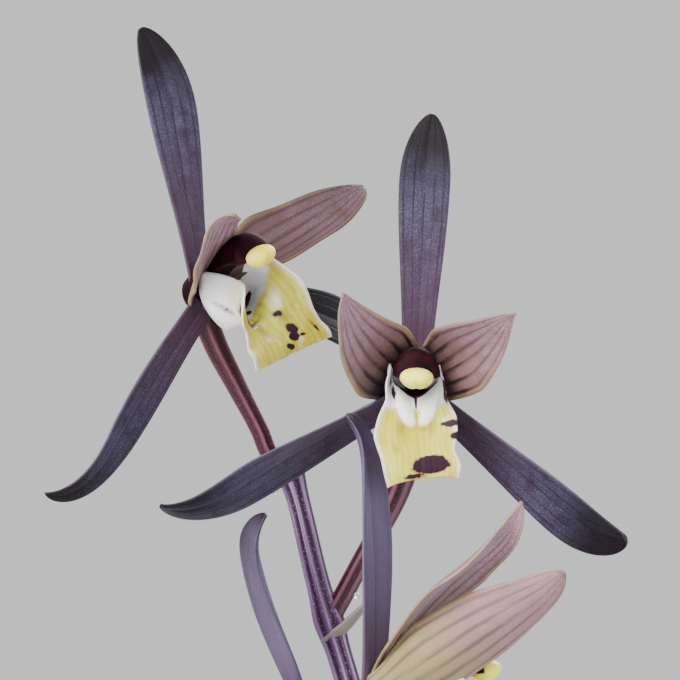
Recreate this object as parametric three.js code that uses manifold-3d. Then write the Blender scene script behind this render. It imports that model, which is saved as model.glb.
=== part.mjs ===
// Potted Chinese cymbidium in flower: clay pot, bark mix, three leafy shoots and one spike of dark blooms.
// Millimetres, +Z up. The origin is the middle of the pot's flat base and the flowers face -Y.
// A flower's own frame has its face toward -Y, +X to its right and +Z toward its dorsal sepal.
// Angles are in degrees.

import * as THREE from 'three';
import Module from 'manifold-3d';
import { mergeVertices } from 'three/addons/utils/BufferGeometryUtils.js';

const wasm = await Module();
wasm.setup();

// Driving sizes
const CLEARANCE = 0.3;
const POT = {
  height: 170, baseRadius: 58, shoulderRadius: 74, rimRadius: 80, rimBottom: 148, wall: 6, floor: 8,
  lip: 2, segments: 36, drainRadius: 6, drainSides: 16, drainRing: 30, drainCount: 4,
};
const MIX = { level: 157, mound: 4, bump: 1.6, rings: 5, segments: 24 };
// Loose bark chips: how far out and how high they lie, their sides and how far they tip in radians
const CHIP = {
  count: 17, reach: 60, sunk: -0.5, proud: 2, sides: [[7, 15], [5, 10], [3, 5.5]], tip: 0.5,
};
const SHEET = { tepal: 0.8, lip: 0.9, leaf: 1.0, bract: 0.7 };
const SCAPE = { baseRadius: 3.6, tipRadius: 1.45, taper: 1.4, sides: 8, rings: 20 };
const PEDICEL = { baseRadius: 1.25, ovaryRadius: 1.7, sides: 6, rings: 6 };

const COLOURS = {
  clay: 0x4a3a36, mix: 0x4b3322, bulb: 0x5c7036, leaf: 0x2c5a2a, scape: 0x6a4a63,
  tepal: 0x4a3c4e, lip: 0xd9cf86, cap: 0xe6dc9c,
};

// Places along the spike, from inside the mix up to the node of the top flower
const SCAPE_PATH = [
  [24, 5, 118], [24, 5, 158], [23.6, 4.6, 220], [22.4, 4, 300], [19.4, 3, 380], [14, 2.4, 440],
  [8.7, 2, 475], [4.3, 2, 491], [0.9, 2, 504], [-2.8, 2, 516.3], [-5.7, 1.5, 528.5], [-6.9, 1, 532.6],
];

const point = ([x, y, z]) => new THREE.Vector3(x, y, z);
const radians = (degrees) => degrees * Math.PI / 180;
const clamp01 = (value) => Math.min(1, Math.max(0, value));
const blend = (from, to, share) => from + (to - from) * share;
const smooth = (share) => share * share * (3 - 2 * share);
// Level direction at an angle from +X toward +Y
const compass = (degrees) => new THREE.Vector3(Math.cos(radians(degrees)), Math.sin(radians(degrees)), 0);

// Repeatable random numbers between 0 and 1
function randomSource(seed) {
  let state = seed >>> 0;
  return () => {
    state = (state * 1664525 + 1013904223) >>> 0;
    return state / 4294967296;
  };
}

// Value of a curve through [at, value] pairs with straight stretches
function along(pairs, at) {
  let last = pairs[0];
  for (const pair of pairs) {
    if (pair[0] >= at) {
      const span = pair[0] - last[0];
      return span > 0 ? blend(last[1], pair[1], (at - last[0]) / span) : pair[1];
    }
    last = pair;
  }
  return last[1];
}

// Solids: closed meshes that can be joined and cut
function solidOf(geometry) {
  const bare = geometry.clone();
  bare.deleteAttribute('normal');
  bare.deleteAttribute('uv');
  const merged = mergeVertices(bare, 1e-4);
  const index = merged.index.array;
  const kept = [];
  for (let i = 0; i < index.length; i += 3) {
    const [a, b, c] = [index[i], index[i + 1], index[i + 2]];
    if (a !== b && b !== c && c !== a) kept.push(a, b, c);
  }
  return new wasm.Manifold(new wasm.Mesh({
    numProp: 3,
    vertProperties: new Float32Array(merged.attributes.position.array),
    triVerts: new Uint32Array(kept),
  }));
}

function geometryOf(solid) {
  const mesh = solid.getMesh();
  const geometry = new THREE.BufferGeometry();
  geometry.setAttribute('position', new THREE.BufferAttribute(mesh.vertProperties, 3));
  geometry.setIndex(new THREE.BufferAttribute(mesh.triVerts, 1));
  geometry.computeVertexNormals();
  return geometry;
}

const join = (solids) => solids.reduce((whole, next) => whole.add(next));
const cut = (solid, cutters) => cutters.reduce((left, cutter) => left.subtract(cutter), solid);

// The biggest body of a solid, without crumbs that a cut leaves behind
function mainBody(solid) {
  const bodies = solid.decompose();
  return bodies.reduce((best, body) => (body.volume() > best.volume() ? body : best));
}

// Closed sheet around rows of middle points, each corner offset along its own normal
function sheetSolid(rows, thickness) {
  const rowCount = rows.length;
  const width = rows[0].length;
  const faces = [[], []];
  for (let i = 0; i < rowCount; i += 1) {
    for (let j = 0; j < width; j += 1) {
      const down = rows[Math.min(i + 1, rowCount - 1)][j].clone().sub(rows[Math.max(i - 1, 0)][j]);
      const across = rows[i][Math.min(j + 1, width - 1)].clone().sub(rows[i][Math.max(j - 1, 0)]);
      const offset = down.cross(across).normalize().multiplyScalar(thickness / 2);
      faces[0].push(rows[i][j].clone().add(offset));
      faces[1].push(rows[i][j].clone().sub(offset));
    }
  }
  const half = rowCount * width;
  const at = (i, j) => i * width + j;
  const triangles = [];
  for (let i = 0; i < rowCount - 1; i += 1) {
    for (let j = 0; j < width - 1; j += 1) {
      const [a, b, c, d] = [at(i, j), at(i + 1, j), at(i + 1, j + 1), at(i, j + 1)];
      triangles.push(a, b, c, a, c, d);
      triangles.push(half + a, half + c, half + b, half + a, half + d, half + c);
    }
  }
  const edges = [];
  for (let i = 0; i < rowCount - 1; i += 1) {
    edges.push([at(i, 0), at(i + 1, 0)], [at(i + 1, width - 1), at(i, width - 1)]);
  }
  for (let j = 0; j < width - 1; j += 1) {
    edges.push([at(rowCount - 1, j), at(rowCount - 1, j + 1)], [at(0, j + 1), at(0, j)]);
  }
  for (const [p, q] of edges) {
    triangles.push(q, p, half + p, q, half + p, half + q);
  }
  return solidFrom(faces.flat(), triangles);
}

function solidFrom(points, triangles) {
  const geometry = new THREE.BufferGeometry();
  const positions = new Float32Array(points.flatMap((p) => [p.x, p.y, p.z]));
  geometry.setAttribute('position', new THREE.BufferAttribute(positions, 3));
  geometry.setIndex(triangles);
  return solidOf(geometry);
}

// Closed tube along a curve; radiusAt gives its radius and flatness its height share, both by the way along
function tubeSolid(curve, radiusAt, sides, rings, flatness = 1) {
  const frames = curve.computeFrenetFrames(rings, false);
  const points = [];
  for (let i = 0; i <= rings; i += 1) {
    const centre = curve.getPointAt(i / rings);
    const radius = radiusAt(i / rings);
    for (let j = 0; j < sides; j += 1) {
      const angle = 2 * Math.PI * j / sides;
      const offset = frames.normals[i].clone().multiplyScalar(Math.cos(angle) * radius);
      offset.addScaledVector(frames.binormals[i], Math.sin(angle) * radius * flatness);
      points.push(centre.clone().add(offset));
    }
  }
  const first = points.length;
  points.push(curve.getPointAt(0), curve.getPointAt(1));
  const triangles = [];
  for (let j = 0; j < sides; j += 1) {
    const next = (j + 1) % sides;
    for (let i = 0; i < rings; i += 1) {
      const [a, b] = [i * sides + j, i * sides + next];
      triangles.push(a, b, b + sides, a, b + sides, a + sides);
    }
    triangles.push(first, next, j);
    triangles.push(first + 1, rings * sides + j, rings * sides + next);
  }
  return solidFrom(points, triangles);
}

// Solid of revolution about Z; the profile runs from the axis below, outside, back to the axis above
function turnedSolid(profile, segments) {
  const geometry = new THREE.LatheGeometry(profile.map(([r, z]) => new THREE.Vector2(r, z)), segments);
  geometry.rotateX(Math.PI / 2);
  return solidOf(geometry);
}

const curveThrough = (places) => new THREE.CatmullRomCurve3(places.map(point), false, 'centripetal');

// Pot
const outerRadius = (z) => blend(POT.baseRadius, POT.shoulderRadius, z / POT.rimBottom);
const innerRadius = (z) => outerRadius(Math.min(z, POT.rimBottom)) - POT.wall;

function potSolid() {
  const { height, lip, floor, rimBottom, rimRadius, baseRadius, shoulderRadius } = POT;
  const body = turnedSolid([
    [0, 0], [baseRadius - lip, 0], [baseRadius, lip], [shoulderRadius, rimBottom - lip],
    [rimRadius - lip, rimBottom], [rimRadius, rimBottom + lip], [rimRadius, height - lip],
    [rimRadius - lip, height], [innerRadius(height) + lip, height], [innerRadius(height), height - lip],
    [innerRadius(rimBottom), rimBottom], [innerRadius(floor), floor], [0, floor],
  ], POT.segments);
  const drains = [];
  for (let i = 0; i < POT.drainCount; i += 1) {
    const angle = 2 * Math.PI * (i + 0.5) / POT.drainCount;
    const drain = new THREE.CylinderGeometry(POT.drainRadius, POT.drainRadius, 4 * floor, POT.drainSides);
    drain.rotateX(Math.PI / 2);
    drain.translate(POT.drainRing * Math.cos(angle), POT.drainRing * Math.sin(angle), 0);
    drains.push(solidOf(drain));
  }
  return cut(body, drains);
}

// Spike
const scapeCurve = curveThrough(SCAPE_PATH);
const scapeTop = point(SCAPE_PATH.at(-1));
const scapeRadius = (share) => blend(SCAPE.baseRadius, SCAPE.tipRadius, share ** SCAPE.taper);
const scapeTube = (extra) => tubeSolid(scapeCurve, (s) => scapeRadius(s) + extra, SCAPE.sides, SCAPE.rings);

// Share of the way up the spike at which it reaches a height
function shareAtHeight(height) {
  let [low, high] = [0, 1];
  for (let step = 0; step < 30; step += 1) {
    const middle = (low + high) / 2;
    if (scapeCurve.getPointAt(middle).z < height) low = middle;
    else high = middle;
  }
  return low;
}

// Closed sleeve bracts down the bare part of the spike: where each starts and its length
const SLEEVES = [
  { bottom: 160, length: 46 }, { bottom: 212, length: 42 }, { bottom: 262, length: 40 },
  { bottom: 314, length: 38 },
];
// How far a sleeve stands off the spike, by the way along it
const SLEEVE_SWELL = [[0, 0.5], [0.15, 1.3], [0.6, 1.5], [1, 0.2]];

function sleeveSolid({ bottom, length }, extra) {
  const shares = [0, 0.25, 0.5, 0.75, 1].map((s) => shareAtHeight(bottom + s * length));
  const curve = new THREE.CatmullRomCurve3(shares.map((s) => scapeCurve.getPointAt(s)));
  const radius = (s) => scapeRadius(blend(shares[0], shares.at(-1), s)) + along(SLEEVE_SWELL, s) + extra;
  return tubeSolid(curve, radius, SCAPE.sides, 4);
}

// Blades: tepals and leaves are a middle line, a width along it and a cupped section
function widthShare(s, { baseShare, wide, tipPower, tipRound }) {
  if (s < wide) return blend(baseShare, 1, smooth(s / wide));
  const beyond = (s - wide) / (1 - wide);
  return Math.max(0, 1 - beyond ** tipPower) ** tipRound;
}

// Middle line of a blade: it steps along the direction that directionAt gives, keeping its upper side
function middleLine(start, length, directionAt, steps = 120) {
  const places = [start.clone()];
  for (let i = 0; i < steps; i += 1) {
    const before = directionAt(i / steps).along;
    const after = directionAt((i + 1) / steps).along;
    const step = before.clone().add(after).multiplyScalar(length / steps / 2);
    places.push(places[i].clone().add(step));
  }
  return (s) => {
    const at = Math.min(s, 1) * steps;
    const i = Math.min(Math.floor(at), steps - 1);
    return places[i].clone().lerp(places[i + 1], at - i);
  };
}

// Row of points across a blade: an arc of the given half angle, middle at the centre
function arcRow(centre, across, upper, width, halfAngle, count) {
  const angle = Math.abs(halfAngle) < 0.001 ? 0.001 : halfAngle;
  const radius = width / 2 / angle;
  const row = [];
  for (let j = 0; j < count; j += 1) {
    const turn = blend(-1, 1, j / (count - 1)) * angle;
    const place = centre.clone().addScaledVector(across, radius * Math.sin(turn));
    row.push(place.addScaledVector(upper, radius * (1 - Math.cos(turn))));
  }
  return row;
}

const SEPAL = {
  azimuth: 0, sway: 0, swayTip: 0, lean: 5, bend: -7, hook: 0, twist: 0, twistMore: 0,
  length: 34, width: 6.9, wide: 0.7, baseShare: 0.58, tipPower: 2, tipRound: 0.62, cup: 20, cupTip: 9,
};
const PETAL = {
  ...SEPAL, lean: 54, bend: 4, length: 25.5, width: 10, wide: 0.34, baseShare: 0.55, tipPower: 1.2,
  tipRound: 0.95, cup: 28, cupTip: 14,
};
const TEPALS = {
  dorsal: { ...SEPAL, base: [0, 0, 0.8] },
  sepalLeft: { ...SEPAL, azimuth: -118, sway: -4, base: [-1, 0, -1.8] },
  sepalRight: { ...SEPAL, azimuth: 118, sway: 4, base: [1, 0, -1.8] },
  petalLeft: { ...PETAL, azimuth: -56, sway: 24, base: [-1.8, 0, 0] },
  petalRight: { ...PETAL, azimuth: 56, sway: -24, base: [1.8, 0, 0] },
};

// Tepal in the flower's frame: azimuth clockwise from the top as seen from the front, lean toward the viewer
function tepalRows(spec, shares, count) {
  const directionAt = (s) => {
    const azimuth = radians(spec.azimuth + spec.sway * s + spec.swayTip * clamp01((s - 0.6) / 0.4) ** 2);
    const lean = radians(spec.lean + spec.bend * s + spec.hook * clamp01((s - 0.75) / 0.25) ** 2);
    const outward = new THREE.Vector3(Math.sin(azimuth), 0, Math.cos(azimuth));
    const forward = new THREE.Vector3(0, -1, 0);
    return {
      along: outward.clone().multiplyScalar(Math.cos(lean)).addScaledVector(forward, Math.sin(lean)),
      upper: outward.clone().multiplyScalar(-Math.sin(lean)).addScaledVector(forward, Math.cos(lean)),
    };
  };
  const line = middleLine(point(spec.base), spec.length, directionAt);
  return shares.map((s) => {
    const { along: tangent, upper } = directionAt(s);
    const side = tangent.clone().cross(upper);
    const turn = radians(spec.twist + spec.twistMore * s);
    const across = side.clone().multiplyScalar(Math.cos(turn)).addScaledVector(upper, Math.sin(turn));
    const inner = upper.clone().multiplyScalar(Math.cos(turn)).addScaledVector(side, -Math.sin(turn));
    const width = spec.width * widthShare(s, spec);
    const cup = radians(blend(spec.cup, spec.cupTip, s));
    return arcRow(line(s), across, inner, width, cup, count);
  });
}

// Lip: a trough under the column whose side lobes stand up, then a tongue that hangs down.
// left and right are widths from the middle line to the margin as seen from the front, along the sheet.
const LIP = {
  length: 17.5, base: [0, -2.35, -2.7], hinge: [0, 0, 0],
  turn: [[0, 0], [0.25, 0], [0.42, 35], [0.55, 68], [0.75, 90], [0.9, 98], [1, 114]],
  left: [[0, 2.6], [0.1, 5.2], [0.2, 6.8], [0.34, 7.2], [0.42, 6.1], [0.48, 4.7], [0.56, 5.3], [0.66, 5.6],
    [0.78, 5], [0.9, 5.2], [1, 4.6]],
  right: [[0, 2.6], [0.1, 5.2], [0.2, 6.8], [0.34, 7.2], [0.42, 6], [0.48, 4.8], [0.56, 5.4], [0.66, 5.5],
    [0.78, 4.9], [0.9, 5.3], [1, 4.8]],
  cup: [[0, 94], [0.2, 106], [0.36, 111], [0.46, 73], [0.56, 33], [0.72, 13], [1, 4]],
  curl: [[0, 0], [1, 0]], skew: 0, corner: 0.6, shift: 0, belly: 0,
};
const LIP_SHARES = [0, 0.12, 0.3, 0.42, 0.5, 0.64, 0.82, 1];
const LIP_POINTS = 5;
// Where the hanging part starts, and where the left lobe sags
const TONGUE = { start: 0.48, spread: 0.4 };
const SAG = { middle: -0.45, width: 0.4, along: [[0, 0], [0.15, 1], [0.42, 1], [0.55, 0]] };

function lipRows(lip, extra) {
  const directionAt = (s) => {
    const turn = radians(along(lip.turn, s));
    return {
      along: new THREE.Vector3(0, -Math.cos(turn), -Math.sin(turn)),
      upper: new THREE.Vector3(0, -Math.sin(turn), Math.cos(turn)),
    };
  };
  const start = point(lip.base).addScaledVector(directionAt(0).along, -extra);
  const line = middleLine(start, lip.length + 2 * extra, directionAt);
  const [turnZ, turnX, turnY] = lip.hinge.map(radians);
  const hinge = new THREE.Matrix4().makeTranslation(...lip.base);
  hinge.multiply(new THREE.Matrix4().makeRotationZ(turnZ));
  hinge.multiply(new THREE.Matrix4().makeRotationX(turnX));
  hinge.multiply(new THREE.Matrix4().makeRotationY(turnY));
  hinge.multiply(new THREE.Matrix4().makeTranslation(...lip.base.map((value) => -value)));
  return LIP_SHARES.map((s) => {
    const tongue = smooth(clamp01((s - TONGUE.start) / TONGUE.spread));
    const row = [];
    for (let j = 0; j < LIP_POINTS; j += 1) {
      const aside = blend(-1, 1, j / (LIP_POINTS - 1));
      const half = along(aside < 0 ? lip.left : lip.right, s) + extra;
      const angle = radians(along(lip.cup, s) + (aside < 0 ? along(lip.curl, s) : 0));
      const place = line(s).addScaledVector(directionAt(s).upper, half / angle * (1 - Math.cos(aside * angle)));
      place.x += half / angle * Math.sin(aside * angle) + lip.shift * tongue;
      place.z -= tongue * (lip.skew * aside + lip.corner * aside ** 4);
      place.z -= lip.belly * Math.exp(-(((aside - SAG.middle) / SAG.width) ** 2)) * along(SAG.along, s);
      row.push(place.applyMatrix4(hinge));
    }
    return row;
  });
}

// Column and pollen cap
const COLUMN_PATH = [[0, 1.6, -0.3], [0, -3, 0.8], [0, -7, 1.3], [0, -11, 1.2], [0, -13, 0.8]];
const COLUMN_RADIUS = [[0, 2.2], [0.25, 2.3], [0.5, 2], [1, 2.8]];
const CAP = { centre: [0, -14.9, 0], radii: [2.15, 2.2, 1.5] };
// Foot below the column that carries the lip; it ends just short of the lip's base
const FOOT = { from: [0, -1, -0.6], reach: 0.88, radii: [1.3, 0.8], sides: 5 };

// The four flowers at the top, each shaped as it stands, and four more below them.
// at is the middle of a flower, stalk the places that its stalk passes, node the height where it leaves.
const FLOWERS = [
  {
    at: [-18.4, -2, 556.7], yaw: 34, pitch: 16, roll: -21, node: 532.6,
    stalk: [[-6.9, 1, 532.4], [-9.5, 1, 534.7], [-10.9, 1, 537.9], [-14, 0.6, 543.9], [-16.8, -0.3, 549.5],
      [-18.2, -1, 553.5]],
    tepals: {
      dorsal: { azimuth: 13, sway: 11, swayTip: -37, lean: 12, bend: -20, hook: 12, length: 36.5, width: 7.6,
        wide: 0.66, twist: -22, twistMore: 36, cup: 0, cupTip: 12 },
      sepalLeft: { azimuth: -116, sway: -11, swayTip: 72, lean: -2, bend: -11, hook: 25, length: 37.4,
        width: 6.6, wide: 0.6, twist: 12, twistMore: 45, cup: 17, cupTip: 11, tipPower: 1.4, tipRound: 0.75 },
      sepalRight: { azimuth: 111, sway: 9, lean: 3, bend: -46, cup: 22, cupTip: 8, twist: -5, twistMore: -5,
        width: 6.7 },
      petalLeft: { azimuth: -29, sway: 2, swayTip: 35, lean: 67, hook: 35, length: 21.8, width: 8.2,
        wide: 0.48, tipPower: 2.2, tipRound: 0.6, twistMore: 22, cup: 40, cupTip: 12 },
      petalRight: { azimuth: 86, sway: -7, swayTip: -4, lean: 31, bend: -26, hook: -32, length: 27,
        width: 11.6, wide: 0.36, tipPower: 1.4, tipRound: 0.72, twist: 52, twistMore: -24, cup: 67,
        cupTip: 29 },
    },
    lip: {
      length: 12.5, base: [0.74, -3.2, -5.4], hinge: [-1.4, 8.3, -5.2],
      turn: [[0, -27], [0.25, 0], [0.42, 45], [0.55, 75], [0.75, 93], [0.9, 102], [1, 117]],
      left: [[0, 1.5], [0.1, 7.6], [0.2, 10.6], [0.34, 7.4], [0.42, 7.6], [0.48, 7.6], [0.56, 5.5],
        [0.66, 5.9], [0.78, 6.5], [0.9, 6.4], [1, 6.1]],
      right: [[0, 2.5], [0.1, 5.3], [0.2, 7.5], [0.34, 9.2], [0.42, 7.8], [0.48, 7.5], [0.56, 7], [0.66, 6.3],
        [0.78, 6.2], [0.9, 6.7], [1, 7]],
      cup: [[0, 92], [0.2, 112], [0.36, 118], [0.46, 75], [0.56, 34], [0.72, 14], [1, 3]],
      curl: [[0, 0], [0.2, 27], [0.36, 38], [0.46, 14], [0.56, 7], [0.72, -3], [1, -1]],
      skew: 0.54, corner: 0.19, shift: 1.67, belly: 2.5,
    },
  },
  {
    at: [10.1, -6, 545.2], yaw: -1, pitch: -1, roll: 1, node: 512,
    stalk: [[-0.9, 2, 513], [0.7, 1, 516], [3, -0.5, 520.4], [5.4, -2, 524.8], [7.6, -3, 529.3],
      [9.1, -3.6, 534], [9.9, -3.6, 539.3], [10.1, -4.6, 543.2]],
    tepals: {
      dorsal: { azimuth: 2, sway: -1, swayTip: 9, length: 34.2, wide: 0.73, twist: 5, twistMore: 6 },
      sepalLeft: { azimuth: -119, sway: -6, swayTip: 68, lean: 8, bend: 30, hook: 27, length: 40.6,
        width: 9.2, wide: 0.62, twist: 57, cup: 52, cupTip: -22, tipPower: 1.6, tipRound: 0.85 },
      sepalRight: { azimuth: 129, sway: 0, swayTip: -38, lean: 12, bend: 30, hook: -4, length: 36.5,
        width: 8.5, wide: 0.74, twist: -53, twistMore: 14, cup: 27, cupTip: 17, tipRound: 0.5 },
      petalLeft: { azimuth: -60, sway: 50, swayTip: 7, lean: 56, bend: 2, hook: 9, length: 26, width: 11.2,
        wide: 0.3, baseShare: 0.75, twist: 4, twistMore: -40, cup: 30, cupTip: 15 },
      petalRight: { azimuth: 60, sway: -25, swayTip: 19, lean: 55, bend: 6, length: 25.9, width: 10.4,
        wide: 0.36, baseShare: 0.75, twist: 8, twistMore: -14 },
    },
    lip: {
      hinge: [0, -0.8, -1.9], skew: -0.6, corner: 0.63, shift: 0.42,
      left: [[0, 2.6], [0.1, 5.2], [0.2, 6.4], [0.34, 6.7], [0.42, 5.9], [0.48, 4.7], [0.56, 5.3], [0.66, 5.9],
        [0.78, 5.1], [0.9, 4.7], [1, 4.3]],
      right: [[0, 2.6], [0.1, 5], [0.2, 6], [0.34, 6.3], [0.42, 5.7], [0.48, 4.8], [0.56, 5.4],
        [0.66, 5.2], [0.78, 4.5], [0.9, 5.3], [1, 5]],
    },
  },
  {
    at: [4.4, -19.5, 504], yaw: 98, pitch: 12, roll: 0, node: 486,
    stalk: [[5.6, 2, 486.5], [5.4, -4, 489.5], [5, -11, 493.6], [3.6, -16.6, 498], [3.4, -18.9, 501.6]],
    tepals: {
      dorsal: { azimuth: 11, sway: 6, swayTip: -17, lean: 16, bend: -10, hook: -42, length: 36.9, width: 7.9,
        wide: 0.62, twist: 47, twistMore: -23, cup: 3, cupTip: 42, tipRound: 0.42 },
      petalLeft: { azimuth: -41, sway: -28, swayTip: 15, lean: 62, bend: -25, hook: -10, length: 32.6,
        width: 11.2, wide: 0.3, twist: -55, twistMore: 7, cup: 52, cupTip: 33, tipPower: 1.7,
        tipRound: 0.7 },
      petalRight: { azimuth: -19, sway: -45, swayTip: 78, lean: 29, bend: 29, hook: -32, length: 34.2,
        width: 10.6, wide: 0.62, baseShare: 0.4, twist: 45, twistMore: 33, cup: -7, cupTip: 52 },
    },
  },
  {
    at: [-3.8, 0, 496.8], yaw: -88, pitch: -10, roll: 0, node: 468,
    stalk: [[10, 2, 468], [7, 2, 473], [2.6, 1.6, 480], [-1, 1, 487.5], [-2.9, 0.4, 493]],
    tepals: {
      dorsal: { azimuth: 7, sway: 43, swayTip: -22, lean: 11, bend: -11, hook: -50, length: 34.9, width: 8.7,
        wide: 0.49, baseShare: 0.4, twist: -31, twistMore: 18, cup: -12, cupTip: 52 },
      petalLeft: { lean: 60, length: 29 },
      petalRight: { lean: 60, length: 28 },
    },
  },
  { node: 448, facing: 84, pitch: 6, roll: 4 },
  { node: 425, facing: -24, pitch: 4, roll: -5 },
  { node: 401, facing: 198, pitch: 8, roll: 3 },
  { node: 376, facing: -78, pitch: 5, roll: -3 },
];
// How far a lower flower stands out from the spike and above its node, and how its stalk gets there
const STAND_OFF = 19;
const STAND_UP = 18;
const STALK_REACH = [[0, 0], [0.32, 0.42], [0.62, 0.8], [0.9, 0.97]];

// Fills in where a lower flower stands, how it faces and how its stalk runs
function placedFlower(flower, index) {
  if (flower.at) return flower;
  const node = scapeCurve.getPointAt(shareAtHeight(flower.node));
  const outward = compass(flower.facing);
  const place = ([out, up]) => {
    const spot = node.clone().addScaledVector(outward, out * STAND_OFF);
    return [spot.x, spot.y, spot.z + up * STAND_UP];
  };
  const random = randomSource(index * 97 + 5);
  const tepals = {};
  for (const [name, { lean, bend, length }] of Object.entries(TEPALS)) {
    tepals[name] = {
      lean: lean + blend(-5, 5, random()),
      bend: bend + blend(-14, 6, random()),
      twistMore: blend(-16, 16, random()),
      hook: blend(-20, 25, random()),
      length: length * blend(0.94, 1.03, random()),
    };
  }
  return { ...flower, at: place([1, 1]), yaw: flower.facing + 90, stalk: STALK_REACH.map(place), tepals };
}

function flowerMatrix({ at, yaw, pitch, roll }) {
  const matrix = new THREE.Matrix4().makeTranslation(...at);
  matrix.multiply(new THREE.Matrix4().makeRotationZ(radians(yaw)));
  matrix.multiply(new THREE.Matrix4().makeRotationX(-radians(pitch)));
  return matrix.multiply(new THREE.Matrix4().makeRotationY(radians(roll)));
}

const lipOf = (flower) => ({ ...LIP, ...flower.lip });
const placed = (rows, matrix) => rows.map((row) => row.map((p) => p.applyMatrix4(matrix)));

const SEPAL_SHARES = [0, 0.2, 0.42, 0.62, 0.8, 0.92, 0.99];
const PETAL_SHARES = [0, 0.16, 0.32, 0.5, 0.7, 0.87, 0.985];

function bloomSolid(flower, matrix) {
  const parts = [];
  for (const [name, standard] of Object.entries(TEPALS)) {
    const spec = { ...standard, ...flower.tepals[name] };
    const shares = name.startsWith('petal') ? PETAL_SHARES : SEPAL_SHARES;
    parts.push(sheetSolid(placed(tepalRows(spec, shares, 3), matrix), SHEET.tepal));
  }
  const column = curveThrough(COLUMN_PATH.map((place) => point(place).applyMatrix4(matrix).toArray()));
  parts.push(tubeSolid(column, (s) => along(COLUMN_RADIUS, s), 6, 3));
  const footEnd = point(FOOT.from).lerp(point(lipOf(flower).base), FOOT.reach);
  const footEnds = [point(FOOT.from), footEnd].map((place) => place.applyMatrix4(matrix).toArray());
  const foot = curveThrough(footEnds);
  parts.push(tubeSolid(foot, (s) => blend(...FOOT.radii, s), FOOT.sides, 1));
  const stalk = curveThrough([...flower.stalk, flower.at]);
  const radius = (s) => blend(PEDICEL.baseRadius, PEDICEL.ovaryRadius, smooth(clamp01(s * 1.6 - 0.4)));
  parts.push(tubeSolid(stalk, radius, PEDICEL.sides, PEDICEL.rings));
  return join(parts);
}

function lipSolid(flower, matrix, extra) {
  const rows = placed(lipRows(lipOf(flower), extra), matrix);
  return sheetSolid(rows, SHEET.lip + 2 * extra);
}

function capSolid(matrix, extra) {
  const geometry = new THREE.SphereGeometry(1, 7, 5);
  geometry.scale(...CAP.radii.map((radius) => radius + extra));
  geometry.translate(...CAP.centre);
  geometry.applyMatrix4(matrix);
  return solidOf(geometry);
}

// Small pointed bract below each flower stalk, longer lower down the spike
const BRACT = {
  below: 3.1, shortest: 7, longest: 15, span: 150, cup: 48, facing: [0.6, 0.8],
  out: [0.75, 0.05], up: [0.35, 0.45], width: [[0, 3.4], [0.35, 4.2], [0.7, 2.8], [1, 0.7]],
};

function bractSolid(flower, extra) {
  const start = scapeCurve.getPointAt(shareAtHeight(flower.node));
  start.z -= BRACT.below;
  const outward = point(flower.stalk[2]).sub(start).setZ(0).normalize();
  const across = new THREE.Vector3(-outward.y, outward.x, 0);
  const length = blend(BRACT.shortest, BRACT.longest, clamp01((scapeTop.z - flower.node) / BRACT.span));
  const bow = ([straight, curved], s) => length * (straight * s + curved * s * s);
  const upper = outward.clone().multiplyScalar(-BRACT.facing[0]).setZ(BRACT.facing[1]);
  const rows = BRACT.width.map(([s, width]) => {
    const centre = start.clone().addScaledVector(outward, bow(BRACT.out, s));
    centre.z += bow(BRACT.up, s);
    return arcRow(centre, across, upper, width, radians(BRACT.cup), 3);
  });
  return sheetSolid(rows, SHEET.bract + extra);
}

// Shoots: each is a swollen bulb with its sheath, on a rhizome below the mix, with roots
const SHOOTS = [
  { at: [-31, 4], outward: 180, seed: 11 },
  { at: [17, -34], outward: -52, seed: 23 },
  { at: [27, 39], outward: 62, seed: 37 },
];
const BULB_PROFILE = [
  [0, -18], [6, -17], [11, -12], [13.5, -3], [13, 6], [10.5, 16], [8.6, 26], [8, 38], [0, 38],
];
const BULB_FLATNESS = 0.8;
const BULB_LEVEL = 152;
const BULB_SIDES = 11;
// Roots below the bulb's widest place, and the thick stem that ties the shoots together
const ROOTS = [{ turn: -125, reach: 16, depth: 60 }, { turn: 140, reach: 20, depth: 48 }];
const ROOT = { below: 8, inset: 4, kneeOut: 0.6, kneeDown: 0.4, baseRadius: 2.6, tipRadius: 1.5 };
const RHIZOME = { below: 12, radius: 4 };
// Leaves of a shoot across its fan: where each starts, where it heads and how upright and long it is
const FAN = [
  { offset: -6, heading: -50, lean: 10, fall: 118, length: 420 },
  { offset: -2.2, heading: -18, lean: 5, fall: 96, length: 440 },
  { offset: 2.2, heading: 16, lean: 6, fall: 104, length: 450 },
  { offset: 6, heading: 48, lean: 11, fall: 124, length: 400 },
];
const LEAF = {
  baseWidth: 8, width: 23, widest: 0.42, start: 172, fold: 46, foldOpen: 13, opened: 0.35,
  turned: 0.4, arch: 1.45, taperFrom: 0.5, taperPower: 2.2, taperRound: 0.8,
  vary: { heading: 4, fall: 6, size: 0.05, drift: 22 },
  shares: [0, 0.07, 0.15, 0.24, 0.34, 0.45, 0.56, 0.67, 0.78, 0.87, 0.94, 0.992],
};

function bulbSolid({ at, outward }, extra) {
  const profile = BULB_PROFILE.map(([r, z]) => [r > 0 ? r + extra : 0, z + Math.sign(z - 10) * extra]);
  const geometry = new THREE.LatheGeometry(profile.map(([r, z]) => new THREE.Vector2(r, z)), BULB_SIDES);
  geometry.rotateX(Math.PI / 2);
  geometry.scale(BULB_FLATNESS, 1, 1);
  geometry.rotateZ(radians(outward));
  geometry.translate(at[0], at[1], BULB_LEVEL);
  return solidOf(geometry);
}

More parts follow.
